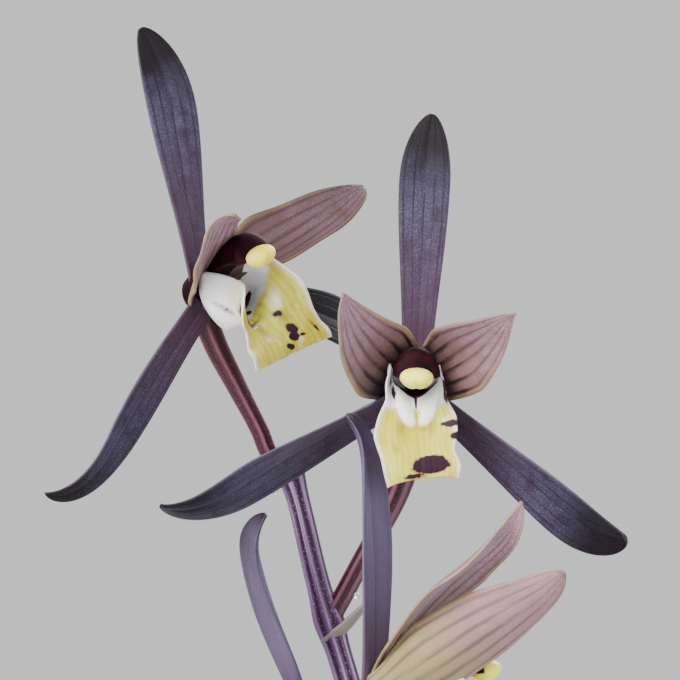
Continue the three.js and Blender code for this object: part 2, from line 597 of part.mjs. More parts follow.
function rootSolid({ at, outward }, { turn, reach, depth }, extra) {
  const heading = compass(outward + turn);
  const top = point([...at, BULB_LEVEL - ROOT.below]).addScaledVector(heading, ROOT.inset);
  const middle = top.clone().addScaledVector(heading, reach * ROOT.kneeOut);
  middle.z -= depth * ROOT.kneeDown;
  const end = top.clone().addScaledVector(heading, reach);
  end.z -= depth;
  const curve = new THREE.CatmullRomCurve3([top, middle, end]);
  return tubeSolid(curve, (s) => blend(ROOT.baseRadius, ROOT.tipRadius, s) + extra, 5, 2);
}

// Rhizome between the first shoot and the other two
function rhizomeSolids(extra) {
  const places = SHOOTS.map(({ at }) => point([...at, BULB_LEVEL - RHIZOME.below]));
  return [places[1], places[2]].map((place) => {
    const curve = new THREE.LineCurve3(places[0], place);
    return tubeSolid(curve, () => RHIZOME.radius + extra, 6, 1);
  });
}

function shootSolids(extra) {
  const bulbs = SHOOTS.map((shoot) => bulbSolid(shoot, extra));
  const roots = SHOOTS.flatMap((shoot) => ROOTS.map((root) => rootSolid(shoot, root, extra)));
  return [...bulbs, ...roots, ...rhizomeSolids(extra)];
}

// Strap leaf: it leaves the sheath in the plane of the fan, turns to its own heading and arches over
function leafRows({ at, outward, seed }, leaf, index, extra) {
  const random = randomSource(seed + index * 13);
  const fanSide = Math.sign(leaf.offset) * 90;
  const vary = (most) => blend(-most, most, random());
  const heading = leaf.heading + vary(LEAF.vary.heading);
  const fall = leaf.fall + vary(LEAF.vary.fall);
  const length = leaf.length * (1 + vary(LEAF.vary.size));
  const width = LEAF.width * (1 + vary(LEAF.vary.size));
  const drift = vary(LEAF.vary.drift);
  const directionAt = (s) => {
    const azimuth = outward + blend(fanSide, heading, smooth(clamp01(s / LEAF.turned))) + drift * s * s;
    const lean = radians(blend(leaf.lean, fall, s ** LEAF.arch));
    const out = compass(azimuth);
    const up = new THREE.Vector3(0, 0, 1);
    return {
      along: up.clone().multiplyScalar(Math.cos(lean)).addScaledVector(out, Math.sin(lean)),
      upper: up.clone().multiplyScalar(Math.sin(lean)).addScaledVector(out, -Math.cos(lean)),
    };
  };
  const start = new THREE.Vector3(at[0], at[1], LEAF.start - extra);
  start.addScaledVector(compass(outward + 90), leaf.offset);
  const line = middleLine(start, length, directionAt);
  return LEAF.shares.map((s) => {
    const { along: tangent, upper } = directionAt(s);
    const rise = smooth(clamp01(s / LEAF.widest));
    const beyond = clamp01((s - LEAF.taperFrom) / (1 - LEAF.taperFrom));
    const taper = (1 - beyond ** LEAF.taperPower) ** LEAF.taperRound;
    const across = tangent.clone().cross(upper);
    const fold = radians(blend(LEAF.fold, LEAF.foldOpen, smooth(clamp01(s / LEAF.opened))));
    return arcRow(line(s), across, upper, blend(LEAF.baseWidth, width, rise) * taper + 2 * extra, fold, 3);
  });
}

// Potting mix: fills the pot, with a bumpy top and loose bark chips
function mixSurface() {
  const random = randomSource(2024);
  const points = [new THREE.Vector3(0, 0, MIX.level + MIX.mound)];
  const edge = innerRadius(MIX.level) - CLEARANCE;
  for (let ring = 1; ring <= MIX.rings; ring += 1) {
    for (let j = 0; j < MIX.segments; j += 1) {
      const angle = 2 * Math.PI * j / MIX.segments;
      const share = ring / MIX.rings;
      const bump = ring === MIX.rings ? 0 : blend(-MIX.bump, MIX.bump, random());
      const height = MIX.level + MIX.mound * (1 - share * share) + bump;
      points.push(new THREE.Vector3(edge * share * Math.cos(angle), edge * share * Math.sin(angle), height));
    }
  }
  return points;
}

function mixBody() {
  const points = mixSurface();
  const count = MIX.segments;
  const bottom = POT.floor + CLEARANCE;
  const edge = innerRadius(bottom) - CLEARANCE;
  const rim = points.length - count;
  for (let j = 0; j < count; j += 1) {
    const angle = 2 * Math.PI * j / count;
    points.push(new THREE.Vector3(edge * Math.cos(angle), edge * Math.sin(angle), bottom));
  }
  points.push(new THREE.Vector3(0, 0, bottom));
  const triangles = [];
  for (let j = 0; j < count; j += 1) {
    const next = (j + 1) % count;
    triangles.push(0, 1 + j, 1 + next);
    for (let ring = 0; ring < MIX.rings; ring += 1) {
      const [a, b] = [1 + ring * count + j, 1 + ring * count + next];
      triangles.push(a, a + count, b + count, a, b + count, b);
    }
    triangles.push(points.length - 1, rim + count + next, rim + count + j);
  }
  return solidFrom(points, triangles);
}

function chipSolids() {
  const random = randomSource(77);
  const edge = innerRadius(MIX.level);
  const chips = [];
  while (chips.length < CHIP.count) {
    const reach = CHIP.reach * Math.sqrt(random());
    const angle = 2 * Math.PI * random();
    const height = MIX.level + MIX.mound * (1 - (reach / edge) ** 2) + blend(CHIP.sunk, CHIP.proud, random());
    const chip = new THREE.BoxGeometry(...CHIP.sides.map((side) => blend(...side, random())));
    chip.rotateX(blend(-CHIP.tip, CHIP.tip, random()));
    chip.rotateY(blend(-CHIP.tip, CHIP.tip, random()));
    chip.rotateZ(2 * Math.PI * random());
    chip.translate(reach * Math.cos(angle), reach * Math.sin(angle), height);
    chips.push(solidOf(chip));
  }
  return chips;
}

// The whole plant
const group = new THREE.Group();

function addPiece(name, solid, colour, roughness = 0.7) {
  const material = new THREE.MeshStandardMaterial({ color: colour, roughness, metalness: 0 });
  const mesh = new THREE.Mesh(geometryOf(mainBody(solid)), material);
  mesh.name = name;
  group.add(mesh);
}

const flowers = FLOWERS.map(placedFlower);
const leafSolids = (extra) => SHOOTS.flatMap((shoot) => FAN.map((leaf, index) => {
  const rows = leafRows(shoot, leaf, index, extra);
  return sheetSolid(rows, SHEET.leaf + 2 * extra);
}));

const spike = [
  scapeTube(0), ...SLEEVES.map((sleeve) => sleeveSolid(sleeve, 0)),
  ...flowers.slice(1).map((flower) => bractSolid(flower, 0)),
];
const spikeRoom = [
  scapeTube(CLEARANCE), ...flowers.slice(1).map((flower) => bractSolid(flower, 2 * CLEARANCE)),
];

addPiece('pot', potSolid(), COLOURS.clay, 0.8);
addPiece('potting_mix', cut(join([mixBody(), ...chipSolids()]), [
  ...shootSolids(CLEARANCE), scapeTube(CLEARANCE), sleeveSolid(SLEEVES[0], CLEARANCE),
]), COLOURS.mix, 0.9);
addPiece('pseudobulbs', cut(join(shootSolids(0)), leafSolids(CLEARANCE)), COLOURS.bulb);
leafSolids(0).forEach((leaf, index) => addPiece(`leaf_${index + 1}`, leaf, COLOURS.leaf, 0.45));
addPiece('flower_spike', join(spike), COLOURS.scape, 0.5);
flowers.forEach((flower, index) => {
  const matrix = flowerMatrix(flower);
  const cutters = [...spikeRoom, lipSolid(flower, matrix, CLEARANCE), capSolid(matrix, CLEARANCE)];
  addPiece(`bloom_${index + 1}`, cut(bloomSolid(flower, matrix), cutters), COLOURS.tepal, 0.55);
  addPiece(`bloom_${index + 1}_lip`, lipSolid(flower, matrix, 0), COLOURS.lip, 0.5);
  addPiece(`bloom_${index + 1}_cap`, capSolid(matrix, 0), COLOURS.cap, 0.45);
});

export default group;
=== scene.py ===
"""Potted Chinese cymbidium in flower: eight dark blooms on one spike, leaves, bulbs, bark mix and clay pot.

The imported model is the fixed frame. Sizes below are millimetres and degrees, meshes are metres, +Z is up
and the two open top flowers face -Y. A flower's own frame has its face toward -Y, +X to its right and +Z
toward its dorsal sepal.
"""

import logging
import math
from collections.abc import Callable, Iterable, Sequence
from dataclasses import dataclass, field, replace
from enum import Enum

import bpy
import numpy as np
from mathutils import Matrix, Vector


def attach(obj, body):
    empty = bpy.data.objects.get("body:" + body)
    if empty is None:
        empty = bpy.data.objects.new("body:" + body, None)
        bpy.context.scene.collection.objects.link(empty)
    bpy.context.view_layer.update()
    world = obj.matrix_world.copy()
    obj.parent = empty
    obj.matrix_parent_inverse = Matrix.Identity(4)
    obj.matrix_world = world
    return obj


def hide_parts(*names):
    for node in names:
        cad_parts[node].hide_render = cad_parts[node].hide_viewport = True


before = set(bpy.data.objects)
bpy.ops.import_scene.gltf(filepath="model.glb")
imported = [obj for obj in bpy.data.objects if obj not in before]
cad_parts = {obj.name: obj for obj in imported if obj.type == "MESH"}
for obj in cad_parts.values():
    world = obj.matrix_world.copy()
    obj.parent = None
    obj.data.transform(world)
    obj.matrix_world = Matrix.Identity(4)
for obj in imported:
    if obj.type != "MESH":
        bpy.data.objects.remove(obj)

LOG = logging.getLogger("cymbidium")
MM = 0.001
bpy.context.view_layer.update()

Array = np.ndarray
Place = Sequence[float]
Colour = tuple[float, float, float]
Pairs = Sequence[tuple[float, float]]
Feeds = dict[str | int, object]
Material = bpy.types.Material
Object = bpy.types.Object
Node = bpy.types.Node
Socket = bpy.types.NodeSocket

# Colour sockets of the mix node, which share their names with its number and vector sockets
MIX_FIRST, MIX_LAST, MIX_RESULT = 6, 7, 2


class Slot(Enum):
    """The record's material slots."""

    CLAY = "pot_clay"
    BARK = "bark_mix"
    BULB = "bulb_green"
    LEAF = "leaf_green"
    SPIKE = "spike_purple"
    TEPAL = "tepal_purple"
    LIP = "lip_yellow"
    CAP = "pollen_cap"


class Tepal(Enum):
    """The five tepals of a flower, left and right as seen from its front."""

    DORSAL = "dorsal"
    SEPAL_LEFT = "sepal_left"
    SEPAL_RIGHT = "sepal_right"
    PETAL_LEFT = "petal_left"
    PETAL_RIGHT = "petal_right"

    @property
    def is_petal(self) -> bool:
        """True for the two petals beside the column."""
        return self in (Tepal.PETAL_LEFT, Tepal.PETAL_RIGHT)


# Number helpers


def smooth(share: Array | float) -> Array | float:
    """Eased share that starts and ends level."""
    return share * share * (3 - 2 * share)


def ramp(value: Array | float) -> Array | float:
    """Smooth rise from 0 to 1 between 0 and 1, even beyond."""
    return smooth(np.clip(value, 0, 1))


def blend(first: Array | float, last: Array | float, share: Array | float) -> Array | float:
    """Value a share of the way from first to last."""
    return first + (last - first) * share


def along(pairs: Pairs, at: Array | float) -> Array | float:
    """Value of a line through (at, value) pairs."""
    return np.interp(at, [p[0] for p in pairs], [p[1] for p in pairs])


def eased(pairs: Pairs, at: Array, spread: float = 0.04) -> Array:
    """Value of a line through pairs with its corners rounded off.

    Args:
        pairs: (at, value) pairs.
        at: where to read the line.
        spread: how far each reading looks to both sides.

    Returns:
        One value for each place in at.
    """
    looks = np.linspace(-1, 1, 9)
    weights = 1 - np.abs(looks) * 0.85
    readings = [along(pairs, np.clip(at + spread * look, 0, 1)) for look in looks]
    return np.average(readings, axis=0, weights=weights)


def compass(degrees: float) -> Array:
    """Level direction at an angle from +X toward +Y."""
    turn = math.radians(degrees)
    return np.array([math.cos(turn), math.sin(turn), 0.0])


def round_angles(count: int) -> Array:
    """Even angles once round, in radians."""
    return 2 * np.pi * np.arange(count) / count


def circle(radius: Array | float, height: Array | float, angle: Array) -> Array:
    """Level circle of points about the z axis."""
    return np.stack([radius * np.cos(angle), radius * np.sin(angle), height + 0 * angle], axis=-1)


def unit(vectors: Array) -> Array:
    """Vectors scaled to length one."""
    return vectors / np.maximum(np.linalg.norm(vectors, axis=-1, keepdims=True), 1e-9)


class Draw:
    """Repeatable random numbers between 0 and 1, the same run as the solids use."""

    def __init__(self, seed: int) -> None:
        """Starts the run at a seed."""
        self.state = seed

    def next(self) -> float:
        """The next number."""
        self.state = (self.state * 1664525 + 1013904223) % 4294967296
        return self.state / 4294967296

    def between(self, low: float, high: float) -> float:
        """A number from low to high."""
        return blend(low, high, self.next())


class SmoothPath:
    """Smooth curve through given places, read by its share of length."""

    def __init__(self, places: Sequence[Place], fineness: int = 48) -> None:
        """Fits a centripetal curve.

        Args:
            places: the places that the curve passes, in order.
            fineness: readings kept between two places.
        """
        knots = np.array(places, float)
        padded = np.vstack([2 * knots[0] - knots[1], knots, 2 * knots[-1] - knots[-2]])
        share = np.linspace(0, 1, fineness, endpoint=False)[:, None]
        runs = []
        for a, b, c, d in zip(padded, padded[1:], padded[2:], padded[3:]):
            before, inside, after = (math.sqrt(np.linalg.norm(q - p)) for p, q in ((a, b), (b, c), (c, d)))
            leave = ((b - a) / before - (c - a) / (before + inside) + (c - b) / inside) * inside
            reach = ((c - b) / inside - (d - b) / (inside + after) + (d - c) / after) * inside
            square = -3 * b + 3 * c - 2 * leave - reach
            cube = 2 * b - 2 * c + leave + reach
            runs.append(b + leave * share + square * share**2 + cube * share**3)
        self.readings = np.vstack([*runs, knots[-1:]])
        steps = np.linalg.norm(np.diff(self.readings, axis=0), axis=1)
        self.shares = np.concatenate([[0], np.cumsum(steps)]) / steps.sum()

    def at(self, share: Array | float) -> Array:
        """Places at shares of the length."""
        return np.stack([np.interp(share, self.shares, self.readings[:, k]) for k in range(3)], axis=-1)

    def share_at_height(self, height: float) -> float:
        """Share of the length at which a rising path reaches a height."""
        return float(np.interp(height, self.readings[:, 2], self.shares))


# Meshes


@dataclass
class Surface:
    """Points in millimetres, faces, and for each face corner its place on the pattern."""

    points: Array
    faces: Array
    places: Array
    marks: dict[str, Array] = field(default_factory=dict)

    @staticmethod
    def joined(parts: Iterable["Surface"]) -> "Surface":
        """One surface from several, with their marks kept.

        Args:
            parts: surfaces whose marks have the same names.

        Returns:
            The surface that holds them all.
        """
        parts = list(parts)
        starts = np.cumsum([0] + [len(part.points) for part in parts])
        marks = {name: np.concatenate([part.marks[name] for part in parts]) for name in parts[0].marks}
        return Surface(
            np.concatenate([part.points for part in parts]),
            np.concatenate([part.faces + start for part, start in zip(parts, starts)]),
            np.concatenate([part.places for part in parts]),
            marks,
        )

    def moved(self, matrix: Matrix) -> "Surface":
        """The surface with its points moved by a matrix in millimetres."""
        grid = np.array(matrix)
        return replace(self, points=self.points @ grid[:3, :3].T + grid[:3, 3])

    def piece(self, name: str, material: Material | None = None) -> Object:
        """Makes the surface an object at the origin.

        Args:
            name: the piece's name.
            material: its finish, or none for a guide or a cutter.

        Returns:
            The new object, smooth shaded.
        """
        mesh = bpy.data.meshes.new(name)
        triangle = self.faces[:, 2] == self.faces[:, 3]
        faces = self.faces[~triangle].tolist() + self.faces[triangle][:, :3].tolist()
        places = [self.places[~triangle].reshape(-1), self.places[triangle][:, :3].reshape(-1)]
        mesh.from_pydata((self.points * MM).tolist(), [], faces)
        layer = mesh.uv_layers.new(name="blade")
        layer.data.foreach_set("uv", np.concatenate(places).astype(np.float32))
        store(mesh, self.marks)
        mesh.shade_smooth()
        if material:
            mesh.materials.append(material)
        return added(name, mesh)


def added(name: str, data: bpy.types.ID) -> Object:
    """New object at the origin with a mesh, light or camera."""
    made = bpy.data.objects.new(name, data)
    bpy.context.scene.collection.objects.link(made)
    return made


def store(mesh: bpy.types.Mesh, marks: dict[str, Array]) -> None:
    """Keeps named numbers on the points of a mesh."""
    for name, values in marks.items():
        mesh.attributes.new(name, "FLOAT", "POINT").data.foreach_set("value", values.astype(np.float32))


def guide_of(name: str, places: Array, edges: list[tuple[int, int]], marks: dict[str, Array]) -> Object:
    """Object of bare points and edges that a geometry tree grows from.

    Args:
        name: its name.
        places: its points in millimetres.
        edges: pairs of point numbers.
        marks: numbers for each point.

    Returns:
        The guide.
    """
    mesh = bpy.data.meshes.new(name)
    mesh.from_pydata((places * MM).tolist(), edges, [])
    store(mesh, marks)
    return added(name, mesh)


def settle(piece: Object) -> None:
    """Keeps what a piece's modifiers make as its plain mesh."""
    bpy.context.view_layer.update()
    seen = bpy.context.evaluated_depsgraph_get()
    shown = piece.evaluated_get(seen)
    mesh = bpy.data.meshes.new_from_object(shown, preserve_all_data_layers=True, depsgraph=seen)
    piece.modifiers.clear()
    piece.data = mesh


def grid_faces(rows: int, columns: int, start: int = 0) -> Array:
    """Quads of a grid of points, as rows of four point numbers."""
    at = np.arange(rows * columns).reshape(rows, columns) + start
    return np.stack([at[:-1, :-1], at[1:, :-1], at[1:, 1:], at[:-1, 1:]], axis=-1).reshape(-1, 4)


def sheet(rows: Array, thickness: Array | float, marks: dict[str, Array] | None = None) -> Surface:
    """Closed sheet around a grid of middle points.

    Args:
        rows: middle points, row by row along the blade.
        thickness: one number, or one for each point.
        marks: numbers for each middle point that the finish reads.

    Returns:
        The sheet; its mark "back" is 1 on the side that its rows' cross product points to, which is the
        outside of a tepal and the inner side of the lip.
    """
    count, width = rows.shape[:2]
    down = np.gradient(rows, axis=0)
    across = np.gradient(rows, axis=1)
    offset = unit(np.cross(down, across)) * np.broadcast_to(thickness, (count, width))[..., None] / 2
    points = np.concatenate([(rows + offset).reshape(-1, 3), (rows - offset).reshape(-1, 3)])
    half = count * width
    at = np.arange(half).reshape(count, width)
    ring = np.concatenate([at[:-1, 0], at[-1, :-1], at[:0:-1, -1], at[0, :0:-1]])
    after = np.roll(ring, -1)
    back = grid_faces(count, width)
    front = back[:, ::-1] + half
    rim = np.stack([after, ring, ring + half, after + half], axis=-1)
    faces = np.concatenate([back, front, rim])
    shares = np.stack(np.meshgrid(np.linspace(0, 1, width), np.linspace(0, 1, count)), axis=-1).reshape(-1, 2)
    kept = {name: np.tile(values.reshape(-1), 2) for name, values in (marks or {}).items()}
    kept["back"] = np.repeat([1.0, 0.0], half)
    return Surface(points, faces, shares[faces % half], kept)


def arc_rows(
    centres: Array, across: Array, upper: Array, width: Array, half_angle: Array, count: int
) -> Array:
    """Rows of points across a blade, each an arc with its middle at the centre line.

    Args:
        centres: centre line.
        across: direction across the blade at each centre.
        upper: direction that the arc opens toward at each centre.
        width: width of the blade at each centre.
        half_angle: half the arc's angle in radians at each centre.
        count: points in a row.

    Returns:
        The points, one row for each centre.
    """
    angle = np.where(np.abs(half_angle) < 0.001, 0.001, half_angle)
    radius = (width / 2 / angle)[:, None]
    turn = np.linspace(-1, 1, count)[None, :] * angle[:, None]
    sideways = (radius * np.sin(turn))[..., None] * across[:, None, :]
    raised = (radius * (1 - np.cos(turn)))[..., None] * upper[:, None, :]
    return centres[:, None, :] + sideways + raised


def centre_line(start: Place, length: float, heading: Array, shares: Array) -> Array:
    """Places at shares of a line that follows headings.

    Args:
        start: first place.
        length: length of the line.
        heading: unit directions at even steps from 0 to 1.
        shares: where to read the line.

    Returns:
        One place for each share.
    """
    steps = len(heading) - 1
    run = np.cumsum((heading[1:] + heading[:-1]) / 2 * length / steps, axis=0)
    line = np.vstack([np.zeros(3), run]) + np.array(start, float)
    even = np.linspace(0, 1, steps + 1)
    return np.stack([np.interp(shares, even, line[:, k]) for k in range(3)], axis=-1)


def ringed(rings: Array) -> Surface:
    """Closed tube through rings of points, with a pole at each end and its faces outwards.

    Args:
        rings: points in millimetres, ring by ring.

    Returns:
        The surface; its pattern runs round each ring and along the tube.
    """
    count, sides = rings.shape[:2]
    points = np.concatenate([rings.reshape(-1, 3), rings[0].mean(axis=0)[None], rings[-1].mean(axis=0)[None]])
    first, last = count * sides, count * sides + 1
    at = np.arange(first).reshape(count, sides)
    after = np.roll(at, -1, axis=1)
    wall = np.stack([at[:-1], after[:-1], after[1:], at[1:]], axis=-1).reshape(-1, 4)
    below = np.stack([np.full(sides, first), after[0], at[0], at[0]], axis=-1)
    above = np.stack([np.full(sides, last), at[-1], after[-1], after[-1]], axis=-1)
    faces = np.concatenate([wall, below, above])
    turn = np.stack([np.arange(sides), np.arange(sides) + 1], axis=-1) / sides
    run = np.linspace(0, 1, count)
    near, far = np.repeat(run[:-1], sides), np.repeat(run[1:], sides)
    left, right = np.tile(turn[:, 0], count - 1), np.tile(turn[:, 1], count - 1)
    walls = np.stack([left, near, right, near, right, far, left, far], axis=-1).reshape(-1, 4, 2)
    zero, one = np.zeros(sides), np.ones(sides)
    lows = np.stack([turn[:, 0], zero, turn[:, 1], zero, turn[:, 0], zero, turn[:, 0], zero], axis=-1)
    highs = np.stack([turn[:, 0], one, turn[:, 0], one, turn[:, 1], one, turn[:, 1], one], axis=-1)
    places = np.concatenate([walls, lows.reshape(-1, 4, 2), highs.reshape(-1, 4, 2)])
    corners = points[faces]
    inward = np.einsum("ij,ij->i", np.cross(corners[:, 0], corners[:, 1]), corners[:, 2]).sum()
    inward += np.einsum("ij,ij->i", np.cross(corners[:, 0], corners[:, 2]), corners[:, 3]).sum()
    if inward < 0:
        faces[:, 1:], places[:, 1:] = flipped(faces), flipped(places)
    return Surface(points, faces, places, {"back": np.zeros(len(points))})


def flipped(corners: Array) -> Array:
    """Last three corners of each face in the other direction; a triangle keeps its doubled last corner."""
    triangle = (corners[:, 2] == corners[:, 3]).reshape(len(corners), -1).all(axis=1)
    turned = corners[:, [3, 2, 1]].copy()
    turned[triangle] = corners[triangle][:, [2, 1, 1]]
    return turned


def rounded(corners: Pairs, radius: float) -> list[tuple[float, float]]:
    """Profile with its corners rounded.

    Args:
        corners: (radius, height) pairs of the profile.
        radius: distance from a corner at which its rounding starts.

    Returns:
        The pairs of the rounded profile.
    """
    places = np.array(corners, float)
    made = [tuple(places[0])]
    for before, here, after in zip(places, places[1:], places[2:]):
        start = here + unit(before - here) * min(radius, np.linalg.norm(before - here) * 0.45)
        end = here + unit(after - here) * min(radius, np.linalg.norm(after - here) * 0.45)
        for share in np.linspace(0, 1, 5):
            made.append(tuple(blend(blend(start, here, share), blend(here, end, share), share)))
    return [*made, tuple(places[-1])]


# Node trees


class Field:
    """Output of a node that takes plain arithmetic; each operation adds a math node."""

    def __init__(self, bench: "Bench", socket: Socket) -> None:
        """Wraps a socket of a bench's tree."""
        self.bench = bench
        self.socket = socket

    def __add__(self, other: object) -> "Field":
        """This and another together."""
        return self.bench.calc("ADD", self, other)

    def __sub__(self, other: object) -> "Field":
        """This less another."""
        return self.bench.calc("SUBTRACT", self, other)

    def __rsub__(self, other: object) -> "Field":
        """A number less this."""
        return self.bench.calc("SUBTRACT", other, self)

    def __mul__(self, other: object) -> "Field":
        """This times another."""
        return self.bench.calc("MULTIPLY", self, other)

    def __abs__(self) -> "Field":
        """Distance from zero."""
        return self.bench.calc("ABSOLUTE", self)

    def step(self, low: float, high: float) -> "Field":
        """Smooth rise from 0 at low to 1 at high, or a fall where low is above high."""
        feeds = {"Value": self, "From Min": low, "From Max": high}
        return self.bench.read("ShaderNodeMapRange", feeds, interpolation_type="SMOOTHSTEP")

    def curve(self, pairs: Pairs) -> "Field":
        """Value of an eased line through (at, value) pairs with values from 0 to 1."""
        ramp = self.bench.node("ShaderNodeValToRGB", {0: self})
        ramp.color_ramp.interpolation = "EASE"
        stops = ramp.color_ramp.elements
        while len(stops) < len(pairs):
            stops.new(0.5)
        for stop, (at, level) in zip(stops, pairs):
            stop.position = at
            stop.color = (level, level, level, 1.0)
        return self.bench.read("ShaderNodeSeparateColor", {0: Field(self.bench, ramp.outputs[0])})

    def stretched(self, factors: Colour) -> "Field":
        """This vector scaled by three factors."""
        return self.bench.read("ShaderNodeMapping", {"Vector": self, "Scale": factors})

    def noise(self, scale: float, detail: float = 2.0, rough: float = 0.5) -> "Field":
        """Soft noise from 0 to 1 at this vector."""
        feeds = {"Vector": self, "Scale": scale, "Detail": detail, "Roughness": rough}
        return self.bench.read("ShaderNodeTexNoise", feeds)


class Bench:
    """Adds and joins nodes in one tree."""

    def __init__(self, tree: bpy.types.NodeTree) -> None:
        """Takes the tree to work in."""
        self.tree = tree

    def node(self, kind: str, feeds: Feeds | None = None, **settings: object) -> Node:
        """Adds a node.

        Args:
            kind: the node's type name.
            feeds: for input names or numbers, a field to join or a value to set.
            settings: properties of the node.

        Returns:
            The new node.
        """
        made = self.tree.nodes.new(kind)
        for name, value in settings.items():
            setattr(made, name, value)
        for key, value in (feeds or {}).items():
            self.feed(made.inputs[key], value)
        return made

    def read(self, kind: str, feeds: Feeds | None = None, output: int | str = 0, **settings: object) -> Field:
        """One output of a new node."""
        return Field(self, self.node(kind, feeds, **settings).outputs[output])

    def feed(self, socket: Socket, value: object) -> None:
        """Joins a field to an input, or sets the input's value."""
        if isinstance(value, Field):
            self.tree.links.new(value.socket, socket)
        elif isinstance(value, tuple) and socket.type == "RGBA":
            socket.default_value = (*value, 1.0)
        else:
            socket.default_value = value

    def calc(self, operation: str, *values: object) -> Field:
        """Result of a math node on up to three values."""
        return self.read("ShaderNodeMath", dict(enumerate(values)), operation=operation)

    def layered(self, ground: object, *layers: tuple[object, object]) -> object:
        """Colours laid over a ground one after the other.

        Args:
            ground: the first colour.
            layers: each a colour and the share of it that shows.

        Returns:
            The resulting colour.
        """
        for colour, share in layers:
            feeds = {"Factor": share, MIX_FIRST: ground, MIX_LAST: colour}
            ground = self.read("ShaderNodeMix", feeds, MIX_RESULT, data_type="RGBA")
        return ground

    def vector(self, operation: str, first: object, last: object) -> Field:
        """Result of a vector math node; the last value is the factor where it scales."""
        place = 3 if operation == "SCALE" else 1
        return self.read("ShaderNodeVectorMath", {0: first, place: last}, operation=operation)


def veins(across: Field, ahead: Field, count: Field, width: Field, wander: Field) -> list[Field]:
    """Mask of dark lines along a blade that wander a little and fade in and out."""
    bench = across.bench
    where = bench.read("ShaderNodeCombineXYZ", {0: across, 1: ahead})
    sway = where.stretched((2.0, 3.0, 1.0)).noise(2.0)
    beat = bench.calc("FRACT", (across + (sway - 0.5) * wander) * count)
    line = 1.0 - bench.calc("DIVIDE", abs(beat - 0.5), width)
    fade = where.stretched((14.0, 2.4, 1.0)).noise(1.6)
    return [line.step(0.0, 1.0) * fade.step(0.25, 0.62)]


def velvet(place: Field, scale: Field) -> list[Field]:
    """Mask of painted glints on the cells that cover a velvety surface, and the cells' height."""
    cells = place.bench.node("ShaderNodeTexVoronoi", {"Vector": place, "Scale": scale})
    dome = Field(place.bench, cells.outputs["Distance"]).step(0.62, 0.05)
    hue = place.bench.read("ShaderNodeSeparateColor", {0: Field(place.bench, cells.outputs["Color"])})
    cloud = place.noise(420.0, 3.0)
    return [(dome * hue.step(0.2, 0.95) * 0.9 + 0.3) * cloud.step(0.05, 0.6), dome]


def margin(across: Field, ahead: Field, width: Field) -> list[Field]:
    """Mask of a thin border down both sides of a blade and round its tip."""
    side = across.bench.calc("DIVIDE", abs(across * 2.0 - 1.0) - (1.0 - width), width)
    tip = ahead.step(0.985, 1.0)
    return [across.bench.calc("MAXIMUM", side, tip).step(0.0, 0.7)]


class SharedEffects:
    """Shader node groups that several finishes use, each built once."""

    def __init__(self) -> None:
        """Starts with no group built."""
        self.built: dict[str, bpy.types.NodeTree] = {}

    def placed(self, bench: Bench, effect: Callable[..., list[Field]], *values: object) -> list[Field]:
        """Places a shared effect in a material.

        Args:
            bench: the material's bench.
            effect: the function that works the effect out.
            values: its inputs, fields or numbers.

        Returns:
            The effect's results.
        """
        name = effect.__name__
        if name not in self.built:
            self.built[name] = self._group(effect, [self._kind(value) for value in values])
        made = bench.node("ShaderNodeGroup", node_tree=self.built[name])
        for socket, value in zip(made.inputs, values):
            bench.feed(socket, value)
        return [Field(bench, socket) for socket in made.outputs]

    @staticmethod
    def _kind(value: object) -> str:
        """Socket type that a value needs."""
        is_vector = isinstance(value, Field) and value.socket.type == "VECTOR"
        return "NodeSocketVector" if is_vector else "NodeSocketFloat"

    @staticmethod
    def _group(effect: Callable[..., list[Field]], kinds: list[str]) -> bpy.types.NodeTree:
        """Builds the group of an effect from its inputs' socket types."""
        tree = bpy.data.node_groups.new(effect.__name__, "ShaderNodeTree")
        for number, kind in enumerate(kinds):
            tree.interface.new_socket(f"Input {number}", in_out="INPUT", socket_type=kind)
        bench = Bench(tree)
        taken = bench.node("NodeGroupInput").outputs
        results = effect(*(Field(bench, taken[number]) for number in range(len(kinds))))
        for number, _ in enumerate(results):
            tree.interface.new_socket(f"Result {number}", in_out="OUTPUT", socket_type="NodeSocketFloat")
        bench.node("NodeGroupOutput", dict(enumerate(results)))
        return tree


EFFECTS = SharedEffects()


@dataclass(frozen=True)
class Gloss:
    """Constants of a finish that are the same all over it."""

    roughness: float = 0.5
    specular: float = 0.5
    sheen: float = 0.0
    sheen_rough: float = 0.5
    sheen_tint: Colour = (1.0, 1.0, 1.0)
    coat: float = 0.0
    coat_rough: float = 0.2
    glow: float = 0.0
    glow_depth: float = 0.0015


